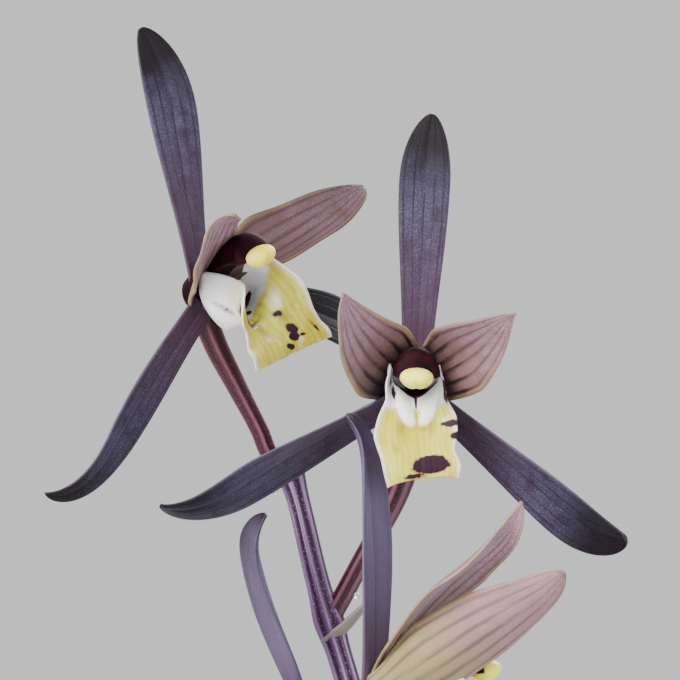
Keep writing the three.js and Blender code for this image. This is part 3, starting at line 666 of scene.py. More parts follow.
class Paint:
    """A material being made: its bench, its shader and where its patterns are read."""

    def __init__(self, name: str, gloss: Gloss) -> None:
        """Makes the material and sets its constants.

        Args:
            name: the finish's name.
            gloss: its constants.
        """
        self.material = bpy.data.materials.new(name)
        self.material.use_nodes = True
        self.bench = Bench(self.material.node_tree)
        self.shader = self.material.node_tree.nodes["Principled BSDF"]
        constants = {
            "Roughness": gloss.roughness, "Specular IOR Level": gloss.specular, "Sheen Weight": gloss.sheen,
            "Sheen Roughness": gloss.sheen_rough, "Sheen Tint": gloss.sheen_tint, "Coat Weight": gloss.coat,
            "Coat Roughness": gloss.coat_rough, "Subsurface Weight": gloss.glow,
            "Subsurface Scale": gloss.glow_depth,
        }
        for key, value in constants.items():
            self.set(key, value)
        self.place = self.bench.read("ShaderNodeTexCoord", output="Object")

    def set(self, name: str, value: object) -> None:
        """Feeds one of the shader's inputs."""
        self.bench.feed(self.shader.inputs[name], value)

    def pattern_place(self) -> Field:
        """Place on the blade's pattern, as a vector."""
        return self.bench.read("ShaderNodeUVMap", uv_map="blade")

    def blade(self) -> tuple[Field, Field]:
        """The share across and the share along the blade."""
        parts = self.bench.node("ShaderNodeSeparateXYZ", {0: self.pattern_place()}).outputs
        return Field(self.bench, parts[0]), Field(self.bench, parts[1])

    def drawn(self, effect: Callable[..., list[Field]], *values: object) -> list[Field]:
        """Results of a shared effect at these values."""
        return EFFECTS.placed(self.bench, effect, *values)

    def mark(self, name: str, output: str = "Fac") -> Field:
        """What the mesh keeps for each point under a name."""
        return self.bench.read("ShaderNodeAttribute", output=output, attribute_name=name)

    def finished(self, tone: object, relief: Field, strength: float, depth: float) -> Material:
        """Ends the material.

        Args:
            tone: its colour.
            relief: its relief.
            strength: share of the relief that shows.
            depth: depth of the relief in millimetres.

        Returns:
            The material.
        """
        self.set("Base Color", tone)
        feeds = {"Strength": strength, "Distance": depth * MM, "Height": relief}
        self.set("Normal", self.bench.read("ShaderNodeBump", feeds))
        return self.material


# Finishes


class Finish:
    """A surface finish with a name and a gloss; each kind says how it is painted."""

    name: str
    gloss: Gloss

    def material(self) -> Material:
        """Makes the finish's material."""
        return self.dress(Paint(self.name, self.gloss))

    def dress(self, paint: Paint) -> Material:
        """Paints the finish."""
        raise NotImplementedError


@dataclass(frozen=True)
class TepalFinish(Finish):
    """Finish of a sepal or petal: body, velvety veil that is partly the tepal's own lavender and partly
    painted sheen with painted glints, veins, dark ends, green base, pale margin, painted shadow and painted
    light.
    """

    name: str
    body: Colour
    lavender_and_sheen: Colour
    vein: Colour
    margin: Colour
    base_dark: Colour
    tip_dark: Colour
    back: Colour
    lavender_and_sheen_along: Pairs
    base_along: Pairs
    tip_along: Pairs
    vein_along: Pairs
    vein_count: float
    vein_width: float
    vein_share: float
    margin_width: float
    margin_share: float
    back_share: float
    gloss: Gloss
    # painted shadow tone and painted light tone
    shadow: Colour = (0.0020, 0.0008, 0.0016)
    painted_light_tone: Colour = (0.155, 0.112, 0.205)
    green: Colour = (0.300, 0.270, 0.080)
    green_along: Pairs = ((0.0, 0.0), (1.0, 0.0))
    cell_scale: float = 5200.0
    cloud_scale: float = 260.0
    cloud_reach: float = 0.16
    wander: float = 0.05

    def dress(self, paint: Paint) -> Material:
        """Paints the finish."""
        across, ahead = paint.blade()
        [lines] = paint.drawn(veins, across, ahead, self.vein_count, self.vein_width, self.wander)
        cells, domes = paint.drawn(velvet, paint.place, self.cell_scale)
        [border] = paint.drawn(margin, across, ahead, self.margin_width)
        clouds = paint.place.noise(self.cloud_scale, 3.0)
        drift = (clouds - 0.5) * self.cloud_reach + ahead
        back = paint.mark("back")
        drawn = lines * drift.curve(self.vein_along)
        # lavender veil: partly the tepal's own lavender, partly painted velvet sheen laid on as glints
        lavender_and_sheen = cells * drift.curve(self.lavender_and_sheen_along) * (1.0 - drawn * self.vein_share)
        base = (drawn * -0.12 + drift).curve(self.base_along) * (1.0 - back * 0.85)
        tone = paint.bench.layered(
            self.body, (self.lavender_and_sheen, lavender_and_sheen), (self.back, back * self.back_share),
            (self.green, back * drift.curve(self.green_along)), (self.vein, drawn * self.vein_share),
            (self.base_dark, base), (self.tip_dark, drift.curve(self.tip_along)),
            (self.margin, border * (clouds.step(0.38, 0.62) * 0.75 + 0.25) * self.margin_share),
            # painted light lifts a tepal toward pale lavender; painted shadow darkens a tepal that stands in
            # shade
            (self.painted_light_tone, paint.mark("painted_light") * (clouds * 0.5 + 0.6)), (self.shadow, paint.mark("shade")),
        )
        return paint.finished(tone, domes * 0.45 - lines * 0.8, 0.5, 0.12)


SEPAL_FINISH = TepalFinish(
    name="velvet_sepal",
    body=(0.0100, 0.0045, 0.0100),
    lavender_and_sheen=(0.108, 0.108, 0.198),
    vein=(0.0040, 0.0020, 0.0050),
    margin=(0.075, 0.052, 0.070),
    base_dark=(0.060, 0.022, 0.042),
    tip_dark=(0.0045, 0.0020, 0.0035),
    lavender_and_sheen_along=((0.0, 0.6), (0.2, 0.85), (0.5, 0.9), (0.66, 0.5), (0.8, 0.14), (1.0, 0.05)),
    base_along=((0.0, 0.9), (0.2, 0.48), (0.5, 0.1), (0.7, 0.0), (1.0, 0.0)),
    tip_along=((0.0, 0.0), (0.58, 0.0), (0.82, 0.85), (1.0, 1.0)),
    vein_along=((0.0, 0.5), (0.3, 1.0), (0.8, 1.0), (1.0, 0.4)),
    vein_count=5.0,
    vein_width=0.16,
    vein_share=0.6,
    margin_width=0.06,
    margin_share=0.6,
    back=(0.150, 0.135, 0.230),
    back_share=0.55,
    gloss=Gloss(roughness=0.55, specular=0.15, sheen=0.06, sheen_rough=0.45, sheen_tint=(0.5, 0.5, 1.0)),
)

PETAL_FINISH = TepalFinish(
    name="veined_petal",
    body=(0.175, 0.098, 0.066),
    lavender_and_sheen=(0.480, 0.290, 0.480),
    vein=(0.075, 0.022, 0.060),
    margin=(0.330, 0.225, 0.110),
    base_dark=(0.0060, 0.0005, 0.0012),
    tip_dark=(0.040, 0.020, 0.034),
    lavender_and_sheen_along=((0.0, 0.0), (0.25, 0.35), (0.55, 1.0), (1.0, 1.0)),
    base_along=((0.0, 1.0), (0.09, 0.9), (0.23, 0.0), (1.0, 0.0)),
    green_along=((0.0, 0.75), (0.18, 0.6), (0.45, 0.12), (0.7, 0.0), (1.0, 0.0)),
    tip_along=((0.0, 0.0), (0.9, 0.0), (1.0, 0.4)),
    vein_along=((0.0, 1.0), (0.35, 0.9), (0.65, 0.75), (0.9, 0.35), (1.0, 0.1)),
    vein_count=6.0,
    vein_width=0.3,
    vein_share=0.68,
    margin_width=0.16,
    margin_share=0.8,
    back=(0.300, 0.165, 0.180),
    back_share=0.6,
    shadow=(0.012, 0.003, 0.004),
    gloss=Gloss(roughness=0.5, specular=0.18, sheen=0.05, sheen_rough=0.5, sheen_tint=(0.9, 0.7, 0.9)),
)


@dataclass(frozen=True)
class LipFinish(Finish):
    """Finish of the lip: white sides, yellow tongue, maroon spots."""

    name: str = "spotted_lip"
    white: Colour = (0.88, 0.87, 0.84)
    lilac: Colour = (0.62, 0.64, 0.80)
    yellow: Colour = (0.50, 0.43, 0.012)
    pale: Colour = (0.70, 0.66, 0.12)
    olive: Colour = (0.21, 0.175, 0.003)
    maroon: Colour = (0.013, 0.004, 0.012)
    blush: Colour = (0.17, 0.008, 0.030)
    blush_dark: Colour = (0.030, 0.006, 0.018)
    vein_count: float = 13.0
    vein_width: float = 0.42
    wander: float = 0.07
    cell_scale: float = 3600.0
    cloud_scale: float = 330.0
    cloud_reach: float = 0.16
    broad_scale: float = 170.0
    ragged_scale: float = 1500.0
    gloss: Gloss = Gloss(roughness=0.45, specular=0.2, glow=0.05)

    def dress(self, paint: Paint) -> Material:
        """Paints the finish."""
        across, ahead = paint.blade()
        [lines] = paint.drawn(veins, across, ahead, self.vein_count, self.vein_width, self.wander)
        _, domes = paint.drawn(velvet, paint.place, self.cell_scale)
        clouds = paint.place.noise(self.cloud_scale, 3.0)
        front = paint.mark("back")
        lobes = paint.bench.layered(self.white, (self.lilac, clouds.step(0.35, 0.7)))
        golden = (clouds - 0.5) * 0.8 + paint.mark("yellow")
        streak = paint.pattern_place().stretched((26.0, 2.0, 1.0)).noise(1.0) * 0.7 - 0.35
        throat = (paint.mark("throat") + streak).step(0.35, 0.6) * front
        reach = (paint.place.noise(self.ragged_scale, 3.0, 0.6) - 0.5) * 0.5 + paint.mark("spot")
        tone = paint.bench.layered(
            lobes, (self._tongue(paint, lines, clouds), golden.step(0.25, 0.75)),
            (self.white, paint.mark("ridge").step(0.16, 0.5)), (self.white, 0.5 - front * 0.5),
            (paint.bench.layered(self.maroon, (self.blush, lines)), throat),
            (self.blush, reach.step(0.30, 0.05) * clouds.step(0.35, 0.6) * 0.55),
            (paint.bench.layered(self.maroon, (self.blush_dark, clouds)), reach.step(0.08, -0.05)),
        )
        return paint.finished(tone, domes * 0.3 - lines * 0.6, 0.4, 0.12)

    def _tongue(self, paint: Paint, lines: Field, clouds: Field) -> object:
        """Colour of the tongue: two yellows, olive veins, painted olive shade in two patches either side of
        the middle, a whiter margin.
        """
        across, ahead = paint.blade()
        off = abs(across * 2.0 - 1.0)
        drift = (clouds - 0.5) * self.cloud_reach + ahead
        # painted shade: olive patches either side of the middle that stand in for shade in the tongue's
        # dimples
        painted_olive_shade = abs(off - 0.36).step(0.2, 0.0) * abs(drift - 0.62).step(0.12, 0.0)
        broad = paint.place.stretched((1.0, 1.0, 0.45)).noise(self.broad_scale)
        return paint.bench.layered(
            self.yellow, (self.pale, broad.step(0.34, 0.66)), (self.olive, lines * 0.32),
            (self.olive, clouds.step(0.55, 0.78) * 0.5), (self.white, clouds.step(0.42, 0.25) * 0.55),
            (self.olive, painted_olive_shade * 0.6), (self.white, off.step(0.86, 1.0) * 0.6),
        )


@dataclass(frozen=True)
class WaxFinish(Finish):
    """Waxy finish with soft clouds of a second colour and fine grain."""

    name: str
    body: Colour
    cloud: Colour
    cloud_scale: float
    gloss: Gloss
    grain_scale: float = 2200.0

    def dress(self, paint: Paint) -> Material:
        """Paints the finish."""
        clouds = paint.place.noise(self.cloud_scale, 4.0, 0.6)
        tone = paint.bench.layered(self.body, (self.cloud, clouds.step(0.3, 0.7)))
        return paint.finished(tone, paint.place.noise(self.grain_scale), 0.25, 0.08)


COLUMN_FINISH = WaxFinish("column_maroon", (0.003, 0.0003, 0.0008), (0.022, 0.001, 0.006), 500.0,
                          Gloss(roughness=0.6, specular=0.07))
CAP_FINISH = WaxFinish("pollen_cap_wax", (0.80, 0.68, 0.02), (0.92, 0.88, 0.16), 380.0,
                       Gloss(roughness=0.4, specular=0.2))


@dataclass(frozen=True)
class StalkFinish(Finish):
    """Finish of a ribbed stalk: pale ridges and dark grooves, partly its own colour and partly painted
    highlight on the ribs and painted shade between them, and lengthwise streaks.
    """

    name: str
    ridge: Colour
    groove: Colour
    blush: Colour
    ribs: int = 7
    gloss: Gloss = Gloss(roughness=0.4, specular=0.3, coat=0.04, coat_rough=0.3)
    fleck_scale: float = 2600.0

    def dress(self, paint: Paint) -> Material:
        """Paints the finish."""
        bench = paint.bench
        rim = bench.node("ShaderNodeSeparateXYZ", {0: paint.mark("rim", "Vector")}).outputs
        sideways, upright = Field(bench, rim[0]), Field(bench, rim[1])
        wave = bench.calc("COSINE", bench.calc("ARCTAN2", upright, sideways) * float(self.ribs))
        where = bench.read("ShaderNodeCombineXYZ", {0: sideways, 1: upright, 2: paint.mark("run")})
        streaks = where.stretched((3.4, 3.4, 22.0)).noise(1.0, 4.0, 0.65)
        fine = where.stretched((12.0, 12.0, 60.0)).noise(1.0)
        # ridges paler and grooves darker by the rib angle: partly painted highlight and painted shade on the
        # ribs
        height = wave * 0.22 + streaks
        flecks = bench.read("ShaderNodeTexVoronoi", {"Vector": paint.place, "Scale": self.fleck_scale})
        tone = bench.layered(
            self.groove, (self.blush, height.step(0.28, 0.62)), (self.ridge, height.step(0.55, 0.8) * fine),
            (self.ridge, flecks.step(0.3, 0.1) * 0.3),
        )
        return paint.finished(tone, fine * 0.4 + streaks, 0.5, 0.16)


STEM_FINISH = StalkFinish("ribbed_stem", (0.52, 0.36, 0.62), (0.010, 0.002, 0.010), (0.085, 0.028, 0.095))
PEDICEL_FINISH = StalkFinish("flower_stalk", (0.23, 0.085, 0.150), (0.009, 0.0007, 0.0025),
                             (0.055, 0.004, 0.015), 6)
ROOT_FINISH = StalkFinish("pale_root", (0.50, 0.44, 0.33), (0.30, 0.24, 0.15), (0.42, 0.36, 0.25), 3,
                          Gloss(roughness=0.8, specular=0.2))


@dataclass(frozen=True)
class LeafFinish(Finish):
    """Finish of a strap leaf or a sheath: ribbed green that dries toward its tip and edge."""

    name: str
    deep: Colour
    bright: Colour
    midrib: Colour
    dry: Colour
    vein_count: float = 26.0
    dry_from: float = 0.965
    base_share: float = 0.5
    gloss: Gloss = Gloss(roughness=0.36, specular=0.45, coat=0.08, coat_rough=0.25)
    vein_width: float = 0.42
    wander: float = 0.004
    patch_scale: float = 26.0
    dust_scale: float = 900.0

    def dress(self, paint: Paint) -> Material:
        """Paints the finish."""
        across, ahead = paint.blade()
        [lines] = paint.drawn(veins, across, ahead, self.vein_count, self.vein_width, self.wander)
        patches = paint.place.noise(self.patch_scale, 4.0, 0.6)
        ragged = (patches - 0.5) * 0.05 + ahead
        tone = paint.bench.layered(
            self.deep, (self.bright, patches.step(0.3, 0.72)), (self.bright, lines * 0.45),
            (self.midrib, ahead.step(0.16, 0.0) * self.base_share),
            (self.midrib, abs(across * 2.0 - 1.0).step(0.09, 0.0) * 0.5),
            (self.midrib, paint.mark("back") * 0.3),
            (self.dry, ragged.step(self.dry_from, self.dry_from + 0.02)),
        )
        return paint.finished(tone, lines * 0.8 + paint.place.noise(self.dust_scale) * 0.15, 0.45, 0.25)


LEAF_FINISH = LeafFinish("leaf_strap", (0.014, 0.050, 0.012), (0.035, 0.105, 0.022), (0.16, 0.24, 0.06),
                         (0.17, 0.10, 0.04))
SHEATH_FINISH = LeafFinish("leaf_sheath", (0.13, 0.15, 0.045), (0.24, 0.24, 0.09), (0.36, 0.29, 0.15),
                           (0.24, 0.15, 0.07), 18.0, 0.8, 0.9, Gloss(roughness=0.55, specular=0.3))
BULB_FINISH = LeafFinish("bulb_skin", (0.05, 0.085, 0.02), (0.11, 0.155, 0.04), (0.20, 0.22, 0.08),
                         (0.15, 0.10, 0.04), 22.0, 1.2, 0.3, Gloss(roughness=0.42, specular=0.4))
BRACT_FINISH = LeafFinish("bract", (0.10, 0.075, 0.085), (0.22, 0.19, 0.17), (0.30, 0.26, 0.24),
                          (0.20, 0.13, 0.08), 9.0, 0.9, 0.4, Gloss(roughness=0.5, specular=0.35))
SLEEVE_FINISH = LeafFinish("sleeve", (0.085, 0.050, 0.045), (0.17, 0.13, 0.075), (0.22, 0.19, 0.09),
                           (0.16, 0.10, 0.05), 16.0, 0.93, 0.5, Gloss(roughness=0.5, specular=0.35))


@dataclass(frozen=True)
class BarkFinish(Finish):
    """Finish of damp bark: every chip has its own tone and a layered grain."""

    name: str
    dark: Colour = (0.030, 0.014, 0.008)
    light: Colour = (0.150, 0.075, 0.040)
    grey: Colour = (0.13, 0.11, 0.09)
    layer_scale: float = 240.0
    grit_scale: float = 1400.0
    gloss: Gloss = Gloss(roughness=0.82, specular=0.25)

    def dress(self, paint: Paint) -> Material:
        """Paints the finish."""
        layers = paint.place.stretched((1.0, 1.0, 5.0)).noise(self.layer_scale, 5.0, 0.65)
        chip = paint.mark("tone")
        level = chip * 0.65 + layers * 0.5
        tone = paint.bench.layered(self.dark, (self.light, level.step(0.25, 0.85)),
                                   (self.grey, layers.step(0.58, 0.75) * chip.step(0.5, 0.9)))
        return paint.finished(tone, paint.place.noise(self.grit_scale, 3.0) * 0.35 + layers, 0.8, 0.9)


@dataclass(frozen=True)
class ClayFinish(Finish):
    """Finish of unglazed clay: turning lines, grit, and pale salt near the foot and rim."""

    name: str = "dark_clay"
    clay: Colour = (0.085, 0.042, 0.033)
    fired: Colour = (0.135, 0.066, 0.048)
    salt: Colour = (0.27, 0.22, 0.19)
    foot_band: tuple[float, float] = (0.022, 0.0)
    rim_band: tuple[float, float] = (0.15, 0.172)
    cloud_scale: float = 14.0
    ring_scale: float = 26.0
    salt_scale: float = 60.0
    grit_scale: float = 1100.0
    gloss: Gloss = Gloss(roughness=0.62, specular=0.35)

    def dress(self, paint: Paint) -> Material:
        """Paints the finish."""
        clouds = paint.place.stretched((1.0, 1.0, 2.2)).noise(self.cloud_scale, 5.0, 0.6)
        rings = paint.place.stretched((0.35, 0.35, 26.0)).noise(self.ring_scale, 3.0, 0.6)
        grit = paint.place.noise(self.grit_scale, 3.0, 0.7)
        height = paint.bench.read("ShaderNodeSeparateXYZ", {0: paint.place}, "Z")
        edges = paint.bench.calc("MAXIMUM", height.step(*self.foot_band), height.step(*self.rim_band))
        bloom = edges * paint.place.noise(self.salt_scale, 6.0, 0.7).step(0.5, 0.72)
        tone = paint.bench.layered(
            self.clay, (self.fired, clouds.step(0.3, 0.7)), (self.fired, rings.step(0.5, 0.75) * 0.3),
            (self.salt, bloom * 0.7), (self.salt, grit.step(0.6, 0.75) * 0.4),
        )
        return paint.finished(tone, grit * 0.3 + rings * 0.9, 0.55, 0.5)


@dataclass(frozen=True)
class NectarFinish(Finish):
    """Finish of a clear sticky drop."""

    name: str = "nectar"
    tint: Colour = (0.95, 0.92, 0.86)
    bend: float = 1.38
    gloss: Gloss = Gloss(roughness=0.03)

    def dress(self, paint: Paint) -> Material:
        """Paints the finish."""
        for name, value in (("Base Color", self.tint), ("Transmission Weight", 1.0), ("IOR", self.bend)):
            paint.set(name, value)
        return paint.material


# Geometry trees


class GrowthTree:
    """A geometry tree with named inputs that turns a guide mesh into a finished mesh."""

    def __init__(self, name: str, takes: dict[str, str]) -> None:
        """Opens the tree.

        Args:
            name: the tree's name.
            takes: kinds of socket by input name, besides the guide and the finish.
        """
        self.tree = bpy.data.node_groups.new(name, "GeometryNodeTree")
        for label, kind in {"Guide": "Geometry", **takes, "Finish": "Material"}.items():
            self.tree.interface.new_socket(label, in_out="INPUT", socket_type=f"NodeSocket{kind}")
        self.tree.interface.new_socket("Grown", in_out="OUTPUT", socket_type="NodeSocketGeometry")
        self.bench = Bench(self.tree)
        self.inputs = self.bench.node("NodeGroupInput")
        real = self.bench.read("GeometryNodeRealizeInstances", {0: self.wired()})
        smoothed = self.bench.read("GeometryNodeSetShadeSmooth", {0: real})
        feeds = {"Geometry": smoothed, "Material": self.taken("Finish")}
        self.bench.node("NodeGroupOutput", {0: self.bench.read("GeometryNodeSetMaterial", feeds)})

    def wired(self) -> Field:
        """Adds the nodes from the guide to the geometry."""
        raise NotImplementedError

    def taken(self, name: str) -> Field:
        """One of the tree's inputs."""
        return Field(self.bench, self.inputs.outputs[name])

    def number(self, name: str) -> Field:
        """Field of a number that the guide keeps under a name."""
        return self.bench.read("GeometryNodeInputNamedAttribute", {"Name": name}, data_type="FLOAT")

    def grow(self, guide: Object, inputs: dict[str, object]) -> Object:
        """Runs the tree on a guide and keeps the result as a plain mesh.

        Args:
            guide: object whose mesh is the guide; its mesh is exchanged.
            inputs: values by input name.

        Returns:
            The guide, now with the grown mesh and no modifier.
        """
        modifier = guide.modifiers.new("growth", "NODES")
        modifier.node_group = self.tree
        for item in self.tree.interface.items_tree:
            if item.item_type == "SOCKET" and item.in_out == "INPUT" and item.name in inputs:
                modifier[item.identifier] = inputs[item.name]
        settle(guide)
        return guide


class RibbedTube(GrowthTree):
    """Tube with ribs along a path whose points keep their radius and their run."""

    def __init__(self) -> None:
        """Opens the tree with its sizes."""
        super().__init__("ribbed_tube", {"Sides": "Int", "Ribs": "Float", "Rib Depth": "Float"})

    def wired(self) -> Field:
        """Ribbed ring swept along the path."""
        bench = self.bench
        rail = bench.read("GeometryNodeMeshToCurve", {0: self.taken("Guide")})
        sides = {"Resolution": self.taken("Sides"), "Radius": 1.0}
        ring = bench.read("GeometryNodeCurvePrimitiveCircle", sides)
        place = bench.read("GeometryNodeInputPosition")
        store = {"Geometry": ring, "Name": "rim", "Value": place}
        kept = bench.read("GeometryNodeStoreNamedAttribute", store, data_type="FLOAT_VECTOR")
        turn = bench.read("GeometryNodeSplineParameter") * (2 * math.pi)
        swell = bench.calc("COSINE", turn * self.taken("Ribs")) * self.taken("Rib Depth") + 1.0
        ribbed = bench.vector("SCALE", place, swell)
        section = bench.read("GeometryNodeSetPosition", {"Geometry": kept, "Position": ribbed})
        feeds = {"Curve": rail, "Profile Curve": section, "Scale": self.number("radius"), "Fill Caps": True}
        return bench.read("GeometryNodeCurveToMesh", feeds)

    def along(
        self, name: str, places: Array, radii: Array, finish: Material,
        ribs: int, depth: float, sides: int = 28,
    ) -> Object:
        """Makes one tube.

        Args:
            name: the piece's name.
            places: the path in millimetres.
            radii: radius at each place in millimetres.
            finish: its material.
            ribs: ribs round the tube.
            depth: height of a rib as a share of the radius.
            sides: points round the tube.

        Returns:
            The piece.
        """
        run = np.concatenate([[0], np.cumsum(np.linalg.norm(np.diff(places, axis=0), axis=1))])
        edges = [(number, number + 1) for number in range(len(places) - 1)]
        guide = guide_of(name, places, edges, {"radius": radii * MM, "run": run * MM})
        return self.grow(guide, {"Sides": sides, "Ribs": float(ribs), "Rib Depth": depth, "Finish": finish})


class BarkScatter(GrowthTree):
    """Bark chips scattered over a surface, each with its own size, turn and tone."""

    def __init__(self) -> None:
        """Opens the tree with its sizes."""
        super().__init__("bark_scatter", {
            "Spacing": "Float", "Density": "Float", "Least": "Vector", "Most": "Vector", "Tip": "Float",
            "Roughness": "Float", "Rough Scale": "Float", "Seed": "Int",
        })

    def wired(self) -> Field:
        """Chips on scattered points, roughened by noise once they are real."""
        bench, tip = self.bench, self.taken("Tip")
        feeds = {
            "Mesh": self.taken("Guide"), "Distance Min": self.taken("Spacing"),
            "Density Max": self.taken("Density"), "Seed": self.taken("Seed"),
        }
        points = bench.read("GeometryNodeDistributePointsOnFaces", feeds, distribute_method="POISSON")
        cube = {"Size": (1.0, 1.0, 1.0), "Vertices X": 4, "Vertices Y": 3, "Vertices Z": 3}
        chip = bench.read("GeometryNodeMeshCube", cube)
        most = bench.read("ShaderNodeCombineXYZ", {0: tip, 1: tip, 2: math.pi})
        turn = self._random("FLOAT_VECTOR", bench.vector("SCALE", most, -1.0), most, 11)
        spin = bench.read("FunctionNodeEulerToRotation", {0: turn})
        size = self._random("FLOAT_VECTOR", self.taken("Least"), self.taken("Most"), 12)
        feeds = {"Points": points, "Instance": chip, "Rotation": spin, "Scale": size}
        chips = bench.read("GeometryNodeInstanceOnPoints", feeds)
        tone = {"Geometry": chips, "Name": "tone", "Value": self._random("FLOAT", 0.0, 1.0, 13)}
        toned = bench.read("GeometryNodeStoreNamedAttribute", tone, data_type="FLOAT", domain="INSTANCE")
        real = bench.read("GeometryNodeRealizeInstances", {0: toned})
        place = bench.read("GeometryNodeInputPosition")
        noise = {"Vector": place, "Scale": self.taken("Rough Scale"), "Detail": 2.0}
        level = bench.vector("SUBTRACT", bench.read("ShaderNodeTexNoise", noise, "Color"), (0.5, 0.5, 0.5))
        shift = bench.vector("SCALE", level, self.taken("Roughness"))
        return bench.read("GeometryNodeSetPosition", {"Geometry": real, "Offset": shift})

    def _random(self, kind: str, least: object, most: object, seed: int) -> Field:
        """Random field between two values."""
        node = self.bench.node("FunctionNodeRandomValue", data_type=kind)
        low, high = [socket for socket in node.inputs if socket.enabled][:2]
        for socket, value in ((low, least), (high, most), (node.inputs["Seed"], seed)):
            self.bench.feed(socket, value)
        return Field(self.bench, next(socket for socket in node.outputs if socket.enabled))


class DropScatter(GrowthTree):
    """Round drops at the guide's points, each as big as its point says."""

    def __init__(self) -> None:
        """Opens the tree with its sizes."""
        super().__init__("drop_scatter", {"Fineness": "Int"})

    def wired(self) -> Field:
        """Balls on the points."""
        divided = {"Radius": 1.0, "Subdivisions": self.taken("Fineness")}
        ball = self.bench.read("GeometryNodeMeshIcoSphere", divided)
        points = self.bench.read("GeometryNodeMeshToPoints", {0: self.taken("Guide")})
        feeds = {"Points": points, "Instance": ball, "Scale": self.number("drop_size")}
        return self.bench.read("GeometryNodeInstanceOnPoints", feeds)

    def on(self, name: str, places: Array, radii: Array, finish: Material, fineness: int = 4) -> Object:
        """Makes the drops.

        Args:
            name: the piece's name.
            places: their middles in millimetres.
            radii: their radii in millimetres.
            finish: their material.
            fineness: how often the ball's faces are divided.

        Returns:
            The piece.
        """
        guide = guide_of(name, places, [], {"drop_size": radii * MM})
        return self.grow(guide, {"Fineness": fineness, "Finish": finish})


def keep(piece: Object, slot: Slot, *nodes: str) -> None:
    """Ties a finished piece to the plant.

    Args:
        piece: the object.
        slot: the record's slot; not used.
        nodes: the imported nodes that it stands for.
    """
    if nodes:
        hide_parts(*nodes)
    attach(piece, "root")
    LOG.info("%s: %d faces", piece.name, len(piece.data.polygons))


# Flowers


@dataclass(frozen=True)
class Blade:
    """Shape of a tepal.

    Azimuth runs clockwise from the top as seen from the front, lean runs toward the viewer. Shade is the
    share of the finish's painted shadow colour that shows, painted light the share of its pale painted light
    tone that lightens the blade.
    """

    azimuth: float = 0.0
    sway: float = 0.0
    sway_tip: float = 0.0
    lean: float = 5.0
    bend: float = -7.0
    hook: float = 0.0
    twist: float = 0.0
    twist_more: float = 0.0
    length: float = 34.0
    width: float = 6.9
    wide: float = 0.7
    base_share: float = 0.58
    tip_power: float = 2.0
    tip_round: float = 0.62
    cup: float = 20.0
    cup_tip: float = 9.0
    base: Place = (0.0, 0.0, 0.8)
    ripple: float = 0.0
    waves: float = 2.3
    keel: float = 0.22
    shade: float = 0.0
    painted_light: float = 0.0
    end: float = 0.9965
    crowding: float = 1.35

    def directions(self, shares: Array) -> tuple[Array, Array]:
        """Direction along the blade and its upper side at shares of its length."""
        late = np.clip((shares - 0.6) / 0.4, 0, 1) ** 2
        end = np.clip((shares - 0.75) / 0.25, 0, 1) ** 2
        azimuth = np.radians(self.azimuth + self.sway * shares + self.sway_tip * late)
        lean = np.radians(self.lean + self.bend * shares + self.hook * end)
        outward = np.stack([np.sin(azimuth), 0 * azimuth, np.cos(azimuth)], axis=-1)
        forward = np.array([0.0, -1.0, 0.0])
        cos, sin = np.cos(lean)[:, None], np.sin(lean)[:, None]
        return cos * outward + sin * forward, cos * forward - sin * outward

    def width_share(self, shares: Array) -> Array:
        """Share of the full width at shares of the length."""
        rise = blend(self.base_share, 1, ramp(shares / self.wide))
        beyond = np.clip((shares - self.wide) / (1 - self.wide), 0, 1)
        return np.where(shares < self.wide, rise, np.maximum(0, 1 - beyond**self.tip_power) ** self.tip_round)

    def rows(self, count: int = 76, points: int = 19) -> Array:
        """Middle points of the blade in the flower's frame.

        Args:
            count: rows along the blade, closer together near its tip.
            points: points in a row.

        Returns:
            The rows of points in millimetres.
        """
        even = np.linspace(0, 1, count)
        shares = self.end * (1 - (1 - even) ** self.crowding)
        heading, _ = self.directions(np.linspace(0, 1, 121))
        line = centre_line(self.base, self.length, heading, shares)
        tangent, upper = self.directions(shares)
        side = np.cross(tangent, upper)
        turn = np.radians(self.twist + self.twist_more * shares)[:, None]
        across = side * np.cos(turn) + upper * np.sin(turn)
        inner = upper * np.cos(turn) - side * np.sin(turn)
        share = self.width_share(shares)
        cup = np.radians(blend(self.cup, self.cup_tip, shares))
        rows = arc_rows(line, across, inner, self.width * share, cup, points)
        aside = np.linspace(-1, 1, points)[None, :]
        groove = -self.keel * np.exp(-((aside / 0.15) ** 2)) * share[:, None]
        wave = np.sin(2 * np.pi * self.waves * shares)[:, None] * np.sign(aside + 0.01)
        lift = groove + self.ripple * np.abs(aside) ** 2.5 * wave * share[:, None]
        return rows + lift[..., None] * inner[:, None, :]

    def surface(self) -> Surface:
        """The tepal in the flower's frame: fleshy in the middle, thin at its margin."""
        rows = self.rows()
        aside = np.abs(np.linspace(-1, 1, rows.shape[1]))[None, :]
        ahead = np.linspace(0, 1, rows.shape[0])[:, None]
        thickness = (0.74 - 0.42 * aside**3) * blend(1.0, 0.7, ahead)
        middle = np.clip(np.minimum(ahead / 0.25, (1.0 - ahead) / 0.2), 0.0, 1.0)
        # shares of the painted shadow and the painted light that the finish lays over the blade
        marks = {
            "shade": np.full(rows.shape[:2], self.shade),
            "painted_light": self.painted_light * middle * (1.0 - 0.35 * aside**2),
        }
        return sheet(rows, thickness, marks)


